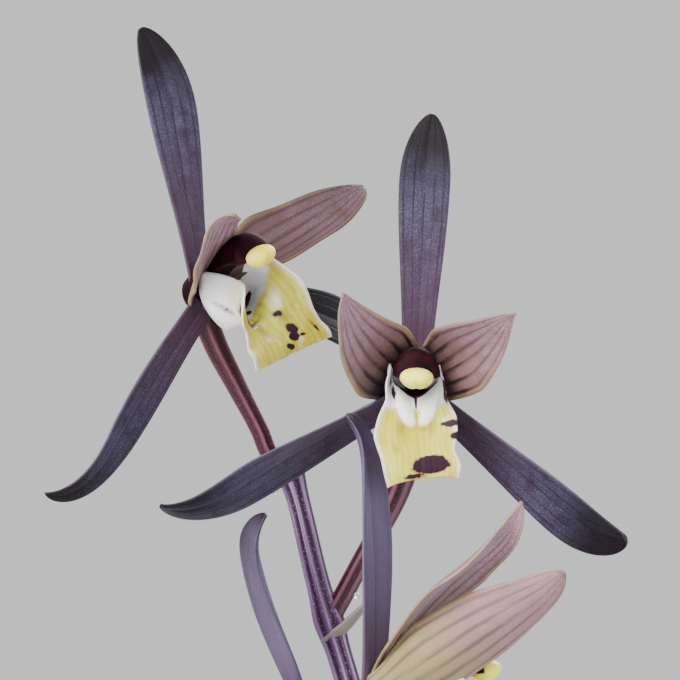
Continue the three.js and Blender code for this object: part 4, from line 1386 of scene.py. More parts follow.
SEPAL = Blade()
PETAL = Blade(
    lean=54, bend=4, length=25.5, width=10, wide=0.34, base_share=0.55, tip_power=1.2, tip_round=0.95,
    cup=28, cup_tip=14, ripple=0.28, keel=0.15,
)
TEPALS: dict[Tepal, Blade] = {
    Tepal.DORSAL: SEPAL,
    Tepal.SEPAL_LEFT: replace(SEPAL, azimuth=-118, sway=-4, base=(-1, 0, -1.8)),
    Tepal.SEPAL_RIGHT: replace(SEPAL, azimuth=118, sway=4, base=(1, 0, -1.8)),
    Tepal.PETAL_LEFT: replace(PETAL, azimuth=-56, sway=24, base=(-1.8, 0, 0)),
    Tepal.PETAL_RIGHT: replace(PETAL, azimuth=56, sway=-24, base=(1.8, 0, 0)),
}


@dataclass(frozen=True)
class Spot:
    """Maroon spot on a lip: its middle across (-1 to 1) and along (0 to 1), half sizes in mm, turn."""

    across: float
    along: float
    wide: float
    long: float
    turn: float = 0.0


@dataclass(frozen=True)
class Lip:
    """The lip: a trough under the column whose side lobes stand up, then a tongue that hangs.

    Left and right are widths from the middle line to the margin as seen from the front, along the sheet.
    """

    length: float = 17.5
    base: Place = (0.0, -2.35, -2.7)
    hinge: Place = (0.0, 0.0, 0.0)
    turn: Pairs = ((0, 0), (0.25, 0), (0.42, 35), (0.55, 68), (0.75, 90), (0.9, 98), (1, 114))
    left: Pairs = ((0, 2.6), (0.1, 5.2), (0.2, 6.8), (0.34, 7.2), (0.42, 6.1), (0.48, 4.7), (0.56, 5.3),
                   (0.66, 5.6), (0.78, 5.0), (0.9, 5.2), (1, 4.6))
    right: Pairs = ((0, 2.6), (0.1, 5.2), (0.2, 6.8), (0.34, 7.2), (0.42, 6.0), (0.48, 4.8), (0.56, 5.4),
                    (0.66, 5.5), (0.78, 4.9), (0.9, 5.3), (1, 4.8))
    cup: Pairs = ((0, 94), (0.2, 106), (0.36, 111), (0.46, 73), (0.56, 33), (0.72, 13), (1, 4))
    curl: Pairs = ((0, 0), (1, 0))
    skew: float = 0.0
    corner: float = 0.6
    shift: float = 0.0
    belly: float = 0.0
    pad: float = 0.85
    throat: float = 0.40
    yellow: float = 0.42
    wave: float = 0.22
    spots: tuple[Spot, ...] = ()
    pad_middle: Pairs = ((0.25, 0.42), (0.42, 0.40), (0.5, 0.33), (0.6, 0.15), (0.66, 0.1))
    pad_width: Pairs = ((0.3, 0.22), (0.42, 0.25), (0.54, 0.2), (0.64, 0.11))
    pad_height: Pairs = ((0.12, 0.0), (0.3, 0.6), (0.44, 1.0), (0.58, 0.65), (0.645, 0.0))
    belly_reach: Pairs = ((0, 0), (0.15, 1), (0.42, 1), (0.55, 0))
    rows_count: int = 120
    points: int = 61

    def surface(self) -> Surface:
        """The lip in the flower's frame, with marks for its pads, its throat and the distance to a spot."""
        shares = np.linspace(0, 1, self.rows_count)
        turn = np.radians(eased(self.turn, np.linspace(0, 1, 161)))
        heading = np.stack([0 * turn, -np.cos(turn), -np.sin(turn)], axis=-1)
        line = centre_line(self.base, self.length, heading, shares)
        turn = np.radians(eased(self.turn, shares))
        upper = np.stack([0 * turn, -np.sin(turn), np.cos(turn)], axis=-1)
        aside = np.linspace(-1, 1, self.points)[None, :]
        ahead = shares[:, None]
        is_left = aside < 0
        sides = [eased(side, shares, 0.025)[:, None] for side in (self.left, self.right)]
        half = np.where(is_left, *sides)
        cup = eased(self.cup, shares)[:, None] + eased(self.curl, shares)[:, None] * is_left
        angle = np.radians(np.maximum(cup, 0.1))
        pads = self._pads(aside, ahead)
        tongue = ramp((ahead - 0.48) / 0.4)
        frill = tongue * np.sin(2 * np.pi * (3.1 * ahead + 0.3 * np.sign(aside))) * np.abs(aside) ** 4
        groove = -0.22 * np.exp(-((aside / 0.07) ** 2)) * tongue
        raised = half / angle * (1 - np.cos(aside * angle)) + self.pad * pads + self.wave * frill + groove
        rows = line[:, None, :] + raised[..., None] * upper[:, None, :]
        rows[..., 0] += half / angle * np.sin(aside * angle) + self.shift * tongue
        rows[..., 2] -= tongue * (self.skew * aside + self.corner * np.abs(aside) ** 4)
        lobe = np.exp(-(((aside + 0.45) / 0.4) ** 2)) * along(self.belly_reach, ahead)
        rows[..., 2] -= self.belly * lobe
        rows = (rows - self.base) @ self._hinge_grid().T + self.base
        thickness = 0.6 - 0.36 * np.abs(aside) ** 4
        yellow = ramp((ahead - self.yellow) / 0.16) * np.ones_like(aside)
        marks = {
            "ridge": min(1.0, self.pad) * pads, "yellow": yellow, "throat": self._throat(aside, ahead),
            "spot": self._spot_reach(aside, ahead, half),
        }
        return sheet(rows, thickness, marks)

    def _hinge_grid(self) -> Array:
        """Turn of the lip on its hinge, as a 3 by 3 grid."""
        turns = [Matrix.Rotation(math.radians(angle), 4, axis) for angle, axis in zip(self.hinge, "ZXY")]
        return np.array(turns[0] @ turns[1] @ turns[2])[:3, :3]

    def _pads(self, aside: Array, ahead: Array) -> Array:
        """Height share of the two white pads that run down the trough and meet where the tongue starts."""
        off = (np.abs(aside) - along(self.pad_middle, ahead)) / along(self.pad_width, ahead)
        return along(self.pad_height, ahead) * np.exp(-(off**2))

    def _throat(self, aside: Array, ahead: Array) -> Array:
        """Share of the dark throat: the floor of the trough, and a slit that runs on between the pads."""
        floor = ramp((self.throat - ahead) / 0.1) * ramp((0.75 - np.abs(aside)) / 0.3)
        slit = np.exp(-((aside / 0.045) ** 2)) * ramp((self.throat + 0.13 - ahead) / 0.07)
        return np.maximum(floor, slit)

    def _spot_reach(self, aside: Array, ahead: Array, half: Array) -> Array:
        """Distance to the nearest spot's edge in millimetres, below zero inside."""
        reach = np.full(np.broadcast(aside, ahead).shape, 9.0)
        for spot in self.spots:
            sideways = (aside - spot.across) * half
            onward = (ahead - spot.along) * self.length
            cos, sin = math.cos(math.radians(spot.turn)), math.sin(math.radians(spot.turn))
            first = (cos * sideways + sin * onward) / spot.wide
            last = (cos * onward - sin * sideways) / spot.long
            distance = (np.hypot(first, last) - 1) * min(spot.wide, spot.long)
            reach = np.minimum(reach, distance)
        return reach


@dataclass(frozen=True)
class Flower:
    """One flower: where it stands, how it faces, how its stalk runs and how its parts differ."""

    number: int
    at: Place
    yaw: float
    pitch: float
    roll: float
    node: float
    stalk: tuple[Place, ...]
    tepals: dict[Tepal, Blade]
    lip: Lip

    @property
    def matrix(self) -> Matrix:
        """From the flower's frame to the plant's, in millimetres."""
        made = Matrix.Translation(Vector(self.at)) @ Matrix.Rotation(math.radians(self.yaw), 4, "Z")
        made = made @ Matrix.Rotation(-math.radians(self.pitch), 4, "X")
        return made @ Matrix.Rotation(math.radians(self.roll), 4, "Y")


def reshaped(changes: dict[Tepal, dict[str, float]]) -> dict[Tepal, Blade]:
    """The usual tepals with a flower's own changes."""
    return {name: replace(blade, **changes.get(name, {})) for name, blade in TEPALS.items()}


TOP_FLOWERS: tuple[Flower, ...] = (
    Flower(
        1, (-18.4, -2, 556.7), 34, 16, -21, 532.6,
        ((-6.9, 1, 532.4), (-9.5, 1, 534.7), (-10.9, 1, 537.9), (-14, 0.6, 543.9), (-16.8, -0.3, 549.5),
         (-18.2, -1, 553.5)),
        reshaped({
            Tepal.DORSAL: dict(azimuth=13, sway=11, sway_tip=-37, lean=12, bend=-20, hook=12, length=36.5,
                               width=7.6, wide=0.66, twist=-22, twist_more=36, cup=0, cup_tip=12),
            Tepal.SEPAL_LEFT: dict(azimuth=-116, sway=-11, sway_tip=72, lean=-2, bend=-11, hook=25,
                                   length=37.4, width=6.6, wide=0.6, twist=12, twist_more=45, cup=17,
                                   cup_tip=11, tip_power=1.4, tip_round=0.75),
            Tepal.SEPAL_RIGHT: dict(azimuth=111, sway=9, lean=3, bend=-46, cup=22, cup_tip=8, twist=-5,
                                    twist_more=-5, width=6.7, shade=1.0),
            Tepal.PETAL_LEFT: dict(azimuth=-29, sway=2, sway_tip=35, lean=67, hook=35, length=21.8,
                                   width=8.2, wide=0.48, tip_power=2.2, tip_round=0.6, twist_more=22,
                                   cup=40, cup_tip=12),
            Tepal.PETAL_RIGHT: dict(azimuth=86, sway=-7, sway_tip=-4, lean=31, bend=-26, hook=-32, length=27,
                                    width=11.6, wide=0.36, tip_power=1.4, tip_round=0.72, twist=52,
                                    twist_more=-24, cup=67, cup_tip=29, shade=0.7),
        }),
        Lip(
            length=12.5, base=(0.74, -3.2, -5.4), hinge=(-1.4, 8.3, -5.2),
            turn=((0, -27), (0.25, 0), (0.42, 45), (0.55, 75), (0.75, 93), (0.9, 102), (1, 117)),
            left=((0, 1.5), (0.1, 7.6), (0.2, 10.6), (0.34, 7.4), (0.42, 7.6), (0.48, 7.6), (0.56, 5.5),
                  (0.66, 5.9), (0.78, 6.5), (0.9, 6.4), (1, 6.1)),
            right=((0, 2.5), (0.1, 5.3), (0.2, 7.5), (0.34, 9.2), (0.42, 7.8), (0.48, 7.5), (0.56, 7.0),
                   (0.66, 6.3), (0.78, 6.2), (0.9, 6.7), (1, 7.0)),
            cup=((0, 92), (0.2, 112), (0.36, 118), (0.46, 75), (0.56, 34), (0.72, 14), (1, 3)),
            curl=((0, 0), (0.2, 27), (0.36, 38), (0.46, 14), (0.56, 7), (0.72, -3), (1, -1)),
            skew=0.54, corner=0.19, shift=1.67, belly=2.5, pad=0.35, throat=0.22, yellow=0.24,
            spots=(
                Spot(-0.64, 0.39, 0.8, 0.5), Spot(-0.46, 0.4, 0.7, 0.3), Spot(-0.3, 0.41, 0.5, 0.15),
                Spot(0.25, 0.545, 0.6, 0.33), Spot(0.28, 0.745, 0.75, 0.75), Spot(0.2, 0.83, 0.75, 0.65),
                Spot(0.02, 0.92, 0.7, 0.4, 30), Spot(0.4, 0.845, 0.4, 0.22), Spot(0.76, 0.83, 0.14, 0.5),
                Spot(-0.64, 0.272, 0.3, 0.1, 40),
            ),
        ),
    ),
    Flower(
        2, (10.1, -6, 545.2), -1, -1, 1, 512,
        ((-0.9, 2, 513), (0.7, 1, 516), (3, -0.5, 520.4), (5.4, -2, 524.8), (7.6, -3, 529.3),
         (9.1, -3.6, 534), (9.9, -3.6, 539.3), (10.1, -4.6, 543.2)),
        reshaped({
            Tepal.DORSAL: dict(azimuth=2, sway=-1, sway_tip=9, length=34.2, wide=0.73, twist=5, twist_more=6),
            Tepal.SEPAL_LEFT: dict(azimuth=-119, sway=-6, sway_tip=68, lean=8, bend=30, hook=27, length=40.6,
                                   width=9.2, wide=0.62, twist=57, cup=52, cup_tip=-22, tip_power=1.6,
                                   tip_round=0.85),
            Tepal.SEPAL_RIGHT: dict(azimuth=129, sway=0, sway_tip=-38, lean=12, bend=30, hook=-4, length=36.5,
                                    width=8.5, wide=0.74, twist=-53, twist_more=14, cup=27, cup_tip=17,
                                    tip_round=0.5),
            Tepal.PETAL_LEFT: dict(azimuth=-60, sway=50, sway_tip=7, lean=56, bend=2, hook=9, length=26,
                                   width=11.2, wide=0.3, base_share=0.75, twist=4, twist_more=-40, cup=30,
                                   cup_tip=15),
            Tepal.PETAL_RIGHT: dict(azimuth=60, sway=-25, sway_tip=19, lean=55, bend=6, length=25.9,
                                    width=10.4, wide=0.36, base_share=0.75, twist=8, twist_more=-14),
        }),
        Lip(
            hinge=(0, -0.8, -1.9),
            left=((0, 2.6), (0.1, 5.2), (0.2, 6.4), (0.34, 6.7), (0.42, 5.9), (0.48, 4.7), (0.56, 5.3),
                  (0.66, 5.9), (0.78, 5.1), (0.9, 4.7), (1, 4.3)),
            right=((0, 2.6), (0.1, 5.0), (0.2, 6.0), (0.34, 6.3), (0.42, 5.7), (0.48, 4.8), (0.56, 5.4),
                   (0.66, 5.2), (0.78, 4.5), (0.9, 5.3), (1, 5.0)),
            skew=-0.6, corner=0.63, shift=0.42,
            spots=(
                Spot(0.27, 0.9, 2.35, 1.15), Spot(-0.16, 0.972, 1.25, 0.28), Spot(0.84, 0.606, 1.15, 0.38),
                Spot(1.0, 0.683, 0.8, 0.42), Spot(0.97, 0.45, 0.22, 0.8), Spot(0.93, 0.34, 0.25, 0.9),
                Spot(-0.8, 0.36, 0.35, 0.9), Spot(-0.62, 0.42, 0.5, 0.6),
            ),
        ),
    ),
    Flower(
        3, (4.4, -19.5, 504), 98, 12, 0, 486,
        ((5.6, 2, 486.5), (5.4, -4, 489.5), (5, -11, 493.6), (3.6, -16.6, 498), (3.4, -18.9, 501.6)),
        reshaped({
            # painted light lightens this dorsal sepal toward pale lavender
            Tepal.DORSAL: dict(azimuth=11, sway=6, sway_tip=-17, lean=16, bend=-10, hook=-42, length=36.9,
                               painted_light=0.65, width=7.9, wide=0.62, twist=47, twist_more=-23, cup=3, cup_tip=42,
                               tip_round=0.42),
            Tepal.PETAL_LEFT: dict(azimuth=-41, sway=-28, sway_tip=15, lean=62, bend=-25, hook=-10,
                                   length=32.6, width=11.2, wide=0.3, twist=-55, twist_more=7, cup=52,
                                   cup_tip=33, tip_power=1.7, tip_round=0.7),
            Tepal.PETAL_RIGHT: dict(azimuth=-19, sway=-45, sway_tip=78, lean=29, bend=29, hook=-32,
                                    length=34.2, width=10.6, wide=0.62, base_share=0.4, twist=45,
                                    twist_more=33, cup=-7, cup_tip=52),
        }),
        Lip(spots=(Spot(-0.3, 0.78, 1.6, 1.0), Spot(0.6, 0.55, 0.8, 0.5), Spot(0.2, 0.9, 0.8, 0.4))),
    ),
    Flower(
        4, (-3.8, 0, 496.8), -88, -10, 0, 468,
        ((10, 2, 468), (7, 2, 473), (2.6, 1.6, 480), (-1, 1, 487.5), (-2.9, 0.4, 493)),
        reshaped({
            # painted light lightens this dorsal sepal toward pale lavender
            Tepal.DORSAL: dict(azimuth=7, sway=43, sway_tip=-22, lean=11, bend=-11, hook=-50, length=34.9,
                               painted_light=0.6, width=8.7, wide=0.49, base_share=0.4, twist=-31, twist_more=18,
                               cup=-12, cup_tip=52),
            Tepal.PETAL_LEFT: dict(lean=60, length=29),
            Tepal.PETAL_RIGHT: dict(lean=60, length=28),
        }),
        Lip(spots=(Spot(0.3, 0.8, 1.8, 1.1), Spot(-0.6, 0.58, 0.9, 0.5))),
    ),
)


@dataclass(frozen=True)
class Spike:
    """The flower stem with its sleeves and bracts, and the rule that places the lower flowers."""

    path: tuple[Place, ...] = (
        (24, 5, 118), (24, 5, 158), (23.6, 4.6, 220), (22.4, 4, 300), (19.4, 3, 380), (14, 2.4, 440),
        (8.7, 2, 475), (4.3, 2, 491), (0.9, 2, 504), (-2.8, 2, 516.3), (-5.7, 1.5, 528.5), (-6.9, 1, 532.6),
    )
    base_radius: float = 3.6
    tip_radius: float = 1.45
    taper: float = 1.4
    sleeves: Pairs = ((160, 46), (212, 42), (262, 40), (314, 38))
    sleeve_swell: Pairs = ((0, 0.15), (0.15, 1.0), (0.7, 1.2), (1, 0.8))
    lower: tuple[tuple[float, float, float, float], ...] = (
        (448, 84, 6, 4), (425, -24, 4, -5), (401, 198, 8, 3), (376, -78, 5, -3),
    )
    stand_off: float = 19.0
    stand_up: float = 18.0
    stalk_reach: Pairs = ((0, 0), (0.32, 0.42), (0.62, 0.8), (0.9, 0.97))

    @property
    def curve(self) -> SmoothPath:
        """The stem's centre line."""
        return SmoothPath(self.path)

    def radius(self, share: Array | float) -> Array | float:
        """Radius of the stem at shares of its length."""
        return blend(self.base_radius, self.tip_radius, share**self.taper)

    def flowers(self) -> list[Flower]:
        """The four top flowers and the lower ones, which follow the spike's rule."""
        curve = self.curve
        found = list(TOP_FLOWERS)
        for index, (node, facing, pitch, roll) in enumerate(self.lower, start=len(TOP_FLOWERS)):
            root = curve.at(curve.share_at_height(node))
            reach = compass(facing) * self.stand_off
            place = [tuple(root + out * reach + (0, 0, up * self.stand_up)) for out, up in
                     (*self.stalk_reach, (1, 1))]
            draw = Draw(index * 97 + 5)
            tepals = {}
            for name, blade in TEPALS.items():
                tepals[name] = replace(
                    blade, lean=blade.lean + draw.between(-5, 5), bend=blade.bend + draw.between(-14, 6),
                    twist_more=draw.between(-16, 16), hook=draw.between(-20, 25),
                    length=blade.length * draw.between(0.94, 1.03),
                )
            limits = ((-0.7, 0.7), (0.5, 0.9), (0.5, 1.8), (0.4, 1.0))
            spots = tuple(Spot(*(draw.between(*pair) for pair in limits)) for _ in range(4))
            lip = Lip(skew=draw.between(-0.8, 0.8), spots=spots)
            stalk = tuple(place[:-1])
            found.append(Flower(index + 1, place[-1], facing + 90, pitch, roll, node, stalk, tepals, lip))
        return found

    def build(self, tube: RibbedTube, flowers: Sequence[Flower]) -> None:
        """Makes the stem, its sleeves and its bracts."""
        curve = self.curve
        shares = np.linspace(0, 1, 420)
        bulge = sum(
            0.45 * np.exp(-(((curve.at(shares)[:, 2] - flower.node) / 2.6) ** 2)) for flower in flowers
        )
        radii, finish = self.radius(shares) + bulge, STEM_FINISH.material()
        stem = tube.along("flower_stem", curve.at(shares), radii, finish, STEM_FINISH.ribs, 0.07, 42)
        keep(stem, Slot.SPIKE, "flower_spike")
        sleeves = Surface.joined(self._sleeve(curve, bottom, length) for bottom, length in self.sleeves)
        keep(sleeves.piece("stem_sleeves", SLEEVE_FINISH.material()), Slot.SPIKE)
        bracts = Surface.joined(self._bract(curve, flower) for flower in flowers if flower.number > 1)
        keep(bracts.piece("flower_bracts", BRACT_FINISH.material()), Slot.SPIKE)

    def _sleeve(self, curve: SmoothPath, bottom: float, length: float) -> Surface:
        """Bract that wraps the bare stem, its pointed top a little free on one side."""
        rise = np.linspace(0, 1, 30)
        turn = np.radians(np.linspace(-165, 165, 33))
        open_side = 40 + bottom * 1.7
        rows = []
        for share in rise:
            reach = share * np.cos(turn / 2.05) ** 1.5 * 0.75 + share * 0.45
            place = curve.at(np.interp(bottom + reach * length, curve.readings[:, 2], curve.shares))
            swell = self.radius(curve.share_at_height(bottom)) + along(self.sleeve_swell, share)
            sides = np.stack([compass(open_side + math.degrees(angle)) for angle in turn])
            overlap = 0.35 * np.abs(turn / turn[-1]) ** 2 * np.sign(turn)
            rows.append(place + sides * (swell + overlap)[:, None])
        return sheet(np.array(rows), 0.5)

    def _bract(self, curve: SmoothPath, flower: Flower) -> Surface:
        """Small pointed bract below a flower's stalk."""
        start = curve.at(curve.share_at_height(flower.node)) - (0, 0, 3.1)
        outward = unit((np.array(flower.stalk[2]) - start) * (1, 1, 0))
        length = blend(7, 15, min(1, max(0, (self.path[-1][2] - flower.node) / 150)))
        share = np.linspace(0, 1, 26)
        out = length * (0.75 * share + 0.05 * share**2)
        up = length * (0.35 * share + 0.45 * share**2)
        centres = start + out[:, None] * outward + up[:, None] * np.array([0, 0, 1.0])
        width = along([(0, 3.4), (0.35, 4.2), (0.7, 2.8), (0.93, 0.9), (1, 0.15)], share)
        across = np.tile([-outward[1], outward[0], 0.0], (len(share), 1))
        upper = np.tile([-0.6 * outward[0], -0.6 * outward[1], 0.8], (len(share), 1))
        return sheet(arc_rows(centres, across, upper, width, np.full(len(share), math.radians(48)), 11), 0.4)


@dataclass(frozen=True)
class Bloom:
    """Builds one flower: tepals, column, lip, cap and stalk."""

    flower: Flower
    column_path: tuple[Place, ...] = (
        (0, 1.6, -0.3), (0, -3, 0.8), (0, -7, 1.3), (0, -11, 1.2), (0, -13.6, 0.5),
    )
    column_radius: Pairs = ((0, 2.4), (0.25, 2.3), (0.55, 2.1), (0.85, 2.7), (1, 3.1))
    hood_end: tuple[tuple[float, ...], ...] = (
        (0, -0.4, -0.1, 0.95), (0, -0.7, -0.2, 0.84), (0, -0.9, -0.35, 0.62), (0, -1, -0.5, 0.3),
    )
    cap_middle: Place = (0.0, -14.9, 0.0)
    cap_radii: Place = (2.15, 2.2, 1.5)
    stalk_radii: Place = (1.25, 1.7)

    def build(self, tube: RibbedTube, finishes: dict[str, Material]) -> None:
        """Makes the flower's pieces.

        Args:
            tube: tree for the stalk.
            finishes: materials by part.
        """
        flower, name = self.flower, f"bloom_{self.flower.number}"
        sepals = [blade.surface() for part, blade in flower.tepals.items() if not part.is_petal]
        petals = [blade.surface() for part, blade in flower.tepals.items() if part.is_petal]
        column = Surface.joined([self._column(), self._foot()])
        parts = {"sepals": Surface.joined(sepals), "petals": Surface.joined(petals), "column": column}
        for part, surface in parts.items():
            keep(surface.moved(flower.matrix).piece(f"{name}_{part}", finishes[part]), Slot.TEPAL, name)
        lip = flower.lip.surface().moved(flower.matrix).piece(f"{name}_tongue", finishes["lip"])
        keep(lip, Slot.LIP, f"{name}_lip")
        cap = self._cap().moved(flower.matrix).piece(f"{name}_pollen_cap", finishes["cap"])
        keep(cap, Slot.CAP, f"{name}_cap")
        curve = SmoothPath([*flower.stalk, flower.at])
        share = np.linspace(0, 1, 90)
        radii, finish = blend(*self.stalk_radii, ramp(share * 1.6 - 0.4)), finishes["stalk"]
        stalk = tube.along(f"{name}_stalk", curve.at(share), radii, finish, PEDICEL_FINISH.ribs, 0.09)
        keep(stalk, Slot.TEPAL, name)

    def _column(self) -> Surface:
        """Arched column: round above, hollow below, its hood closed by a shallow dome at the front."""
        curve = SmoothPath(self.column_path)
        share = np.linspace(0, 1, 34)
        centres = curve.at(share)
        radii = eased(self.column_radius, share)
        inside = np.array(self.hood_end)
        centres = np.vstack([centres, centres[-1] + inside[:, :3]])
        radii = np.concatenate([radii, radii[-1] * inside[:, 3]])
        hollow = np.concatenate([ramp(share * 1.4 - 0.2), np.ones(len(inside))])
        angle = round_angles(36)
        sine = np.sin(angle)[None, :]
        below = np.where(sine < 0, blend(0.85, 0.16, hollow)[:, None], 1.12)
        sideways = radii[:, None] * np.cos(angle)[None, :]
        upright = radii[:, None] * sine * below
        rings = centres[:, None, :] + np.stack([sideways, 0 * sideways, upright], axis=-1)
        return ringed(rings)

    def _foot(self) -> Surface:
        """Short foot below the column, from its underside to the base of the lip."""
        share = np.linspace(0, 1, 8)[:, None]
        centres = blend(np.array([0.0, -1.0, -0.6]), np.array(self.flower.lip.base), share)
        around = circle(1.0, 0.0, round_angles(20))
        return ringed(centres[:, None, :] + blend(1.5, 0.8, share)[:, :, None] * around)

    def _cap(self) -> Surface:
        """Pollen cap: a flattened ball with a furrow and a notch below."""
        polar = np.linspace(0, np.pi, 26)[1:-1, None]
        angle = round_angles(32)[None, :]
        sideways = np.cos(angle) * np.sin(polar)
        upright = np.sin(angle) * np.sin(polar)
        ahead = -np.cos(polar) + 0 * angle
        furrow = 1 - 0.14 * np.exp(-((sideways / 0.22) ** 2)) * np.clip(0.35 - upright, 0, 1)
        flat = np.where(upright < 0, 0.9, 1.0)
        taper = 1 - 0.45 * np.clip(ahead, 0, 1) ** 1.5
        wide = sideways * furrow * taper * (1 + 0.16 * upright)
        tall = upright * furrow * flat * taper
        rings = np.stack([wide, ahead * furrow, tall], axis=-1)
        return ringed(rings * np.array(self.cap_radii) + np.array(self.cap_middle))


# Below the spike


@dataclass(frozen=True)
class Shoot:
    """One shoot: where its bulb sits, which way it faces outward, and the seed of its leaves."""

    at: tuple[float, float]
    outward: float
    seed: int


@dataclass(frozen=True)
class FanLeaf:
    """A leaf's place in its fan: offset, heading, how upright it starts, how far it falls, its length."""

    offset: float
    heading: float
    lean: float
    fall: float
    length: float


@dataclass(frozen=True)
class Foliage:
    """Three leafy shoots on a rhizome: bulbs, sheaths, roots and strap leaves.

    A sheath is given by the heights of its lowest and highest margin, a root by its turn from the
    shoot's outward side, its reach and its depth.
    """

    shoots: tuple[Shoot, ...] = (Shoot((-31, 4), 180, 11), Shoot((17, -34), -52, 23), Shoot((27, 39), 62, 37))
    fan: tuple[FanLeaf, ...] = (
        FanLeaf(-6, -50, 10, 118, 420), FanLeaf(-2.2, -18, 5, 96, 440),
        FanLeaf(2.2, 16, 6, 104, 450), FanLeaf(6, 48, 11, 124, 400),
    )
    bulb: Pairs = ((0.5, -18), (6, -17), (11, -12), (13.5, -3), (13, 6), (10.5, 16), (8.6, 26), (7.6, 38))
    sheaths: Pairs = ((150, 168), (156, 177), (164, 186), (174, 194), (184, 201), (192, 206))
    roots: tuple[Place, ...] = ((-125, 16, 60), (140, 20, 48))
    flatness: float = 0.8
    level: float = 152.0
    leaf_start: float = 172.0
    leaf_width: float = 23.0
    leaf_base: float = 8.0
    leaf_end: float = 0.9905
    leaf_crowding: float = 1.15

    def build(self, tube: RibbedTube) -> None:
        """Makes the bulbs, sheaths, roots and leaves."""
        bulbs = Surface.joined(self._bulb(shoot) for shoot in self.shoots)
        keep(bulbs.piece("bulbs", BULB_FINISH.material()), Slot.BULB, "pseudobulbs")
        layers = range(len(self.sheaths))
        sheaths = Surface.joined(self._sheath(shoot, layer) for shoot in self.shoots for layer in layers)
        keep(sheaths.piece("bulb_sheaths", SHEATH_FINISH.material()), Slot.BULB)
        self._roots(tube)
        leaf = LEAF_FINISH.material()
        for number, (shoot, index) in enumerate(
            ((shoot, index) for shoot in self.shoots for index in range(len(self.fan))), start=1
        ):
            blade = self._leaf(shoot, index).piece(f"strap_leaf_{number}", leaf)
            keep(blade, Slot.LEAF, f"leaf_{number}")

    def _ring(self, shoot: Shoot, turn: Array, radius: Array | float, height: Array | float) -> Array:
        """Points round a shoot's axis; turn is in radians from the side of the fan."""
        thin, broad = compass(shoot.outward), compass(shoot.outward + 90)
        sideways = (radius * np.cos(turn))[..., None] * broad
        outward = (radius * np.sin(turn) * self.flatness)[..., None] * thin
        foot = np.array([*shoot.at, 0.0])
        return foot + sideways + outward + np.stack([0 * turn, 0 * turn, height + 0 * turn], axis=-1)

    def _bulb(self, shoot: Shoot) -> Surface:
        """Swollen bulb that narrows to its neck, a little ribbed."""
        curve = SmoothPath([(radius, height, 0) for radius, height in self.bulb]).at(np.linspace(0, 1, 40))
        turn = round_angles(48)
        ribs = 1 + 0.012 * np.cos(9 * turn + shoot.seed)
        return ringed(np.array([self._ring(shoot, turn, r * ribs, self.level + z) for r, z, _ in curve]))

    def _sheath(self, shoot: Shoot, layer: int) -> Surface:
        """Papery leaf base that wraps the bulb from one side and ends in a point."""
        side = math.pi * (layer % 2)
        turn = np.radians(np.linspace(-148, 148, 41))
        low, peak = self.sheaths[layer]
        peak += Draw(shoot.seed * 7 + layer).between(-3, 3)
        heights = [z + self.level for _, z in self.bulb]
        radii = [r for r, _ in self.bulb]
        rows = []
        for share in np.linspace(0, 1, 34):
            top = blend(low, peak, np.cos(turn / 2) ** 3)
            height = blend(self.level - 10, top, share)
            radius = np.interp(height, heights, radii) + 2.4 - 0.36 * layer
            free = 0.9 * share**6 * (5 - layer) / 5
            overlap = 0.25 * turn / turn[-1]
            rows.append(self._ring(shoot, turn + side, radius + free + overlap, height))
        return sheet(np.array(rows), 0.42)

    def _roots(self, tube: RibbedTube) -> None:
        """Roots inside the mix and the rhizome that ties the shoots together."""
        finish = ROOT_FINISH.material()
        paths = []
        for shoot in self.shoots:
            for turn, reach, depth in self.roots:
                heading = compass(shoot.outward + turn)
                top = np.array([*shoot.at, self.level - 8]) + 4 * heading
                knee = top + 0.6 * reach * heading - (0, 0, 0.4 * depth)
                paths.append(([top, knee, top + reach * heading - (0, 0, depth)], 2.6, 1.5))
        first = np.array([*self.shoots[0].at, self.level - 12])
        for shoot in self.shoots[1:]:
            last = np.array([*shoot.at, self.level - 12])
            paths.append(([first, (first + last) / 2, last], 4.0, 4.0))
        share = np.linspace(0, 1, 24)
        for number, (places, thick, thin) in enumerate(paths, start=1):
            line, radii = SmoothPath(places).at(share), blend(thick, thin, share)
            root = tube.along(f"root_{number}", line, radii, finish, ROOT_FINISH.ribs, 0.04, 12)
            keep(root, Slot.BULB)

    def _leaf(self, shoot: Shoot, index: int) -> Surface:
        """Strap leaf: folded at its base, opening into a shallow keeled blade that arches over."""
        spec = self.fan[index]
        draw = Draw(shoot.seed + index * 13)
        heading = spec.heading + draw.between(-4, 4)
        fall = spec.fall + draw.between(-6, 6)
        length = spec.length * (1 + draw.between(-0.05, 0.05))
        width = self.leaf_width * (1 + draw.between(-0.05, 0.05))
        drift = draw.between(-22, 22)
        fan_side = math.copysign(90, spec.offset)

        def directions(shares: Array) -> tuple[Array, Array]:
            """Direction along the leaf and its upper side."""
            turn = ramp(shares / 0.4)
            azimuth = shoot.outward + blend(fan_side, heading, turn) + drift * shares**2
            lean = np.radians(blend(spec.lean, fall, shares**1.45))[:, None]
            out = np.stack([compass(angle) for angle in azimuth])
            up = np.array([0.0, 0.0, 1.0])
            return up * np.cos(lean) + out * np.sin(lean), up * np.sin(lean) - out * np.cos(lean)

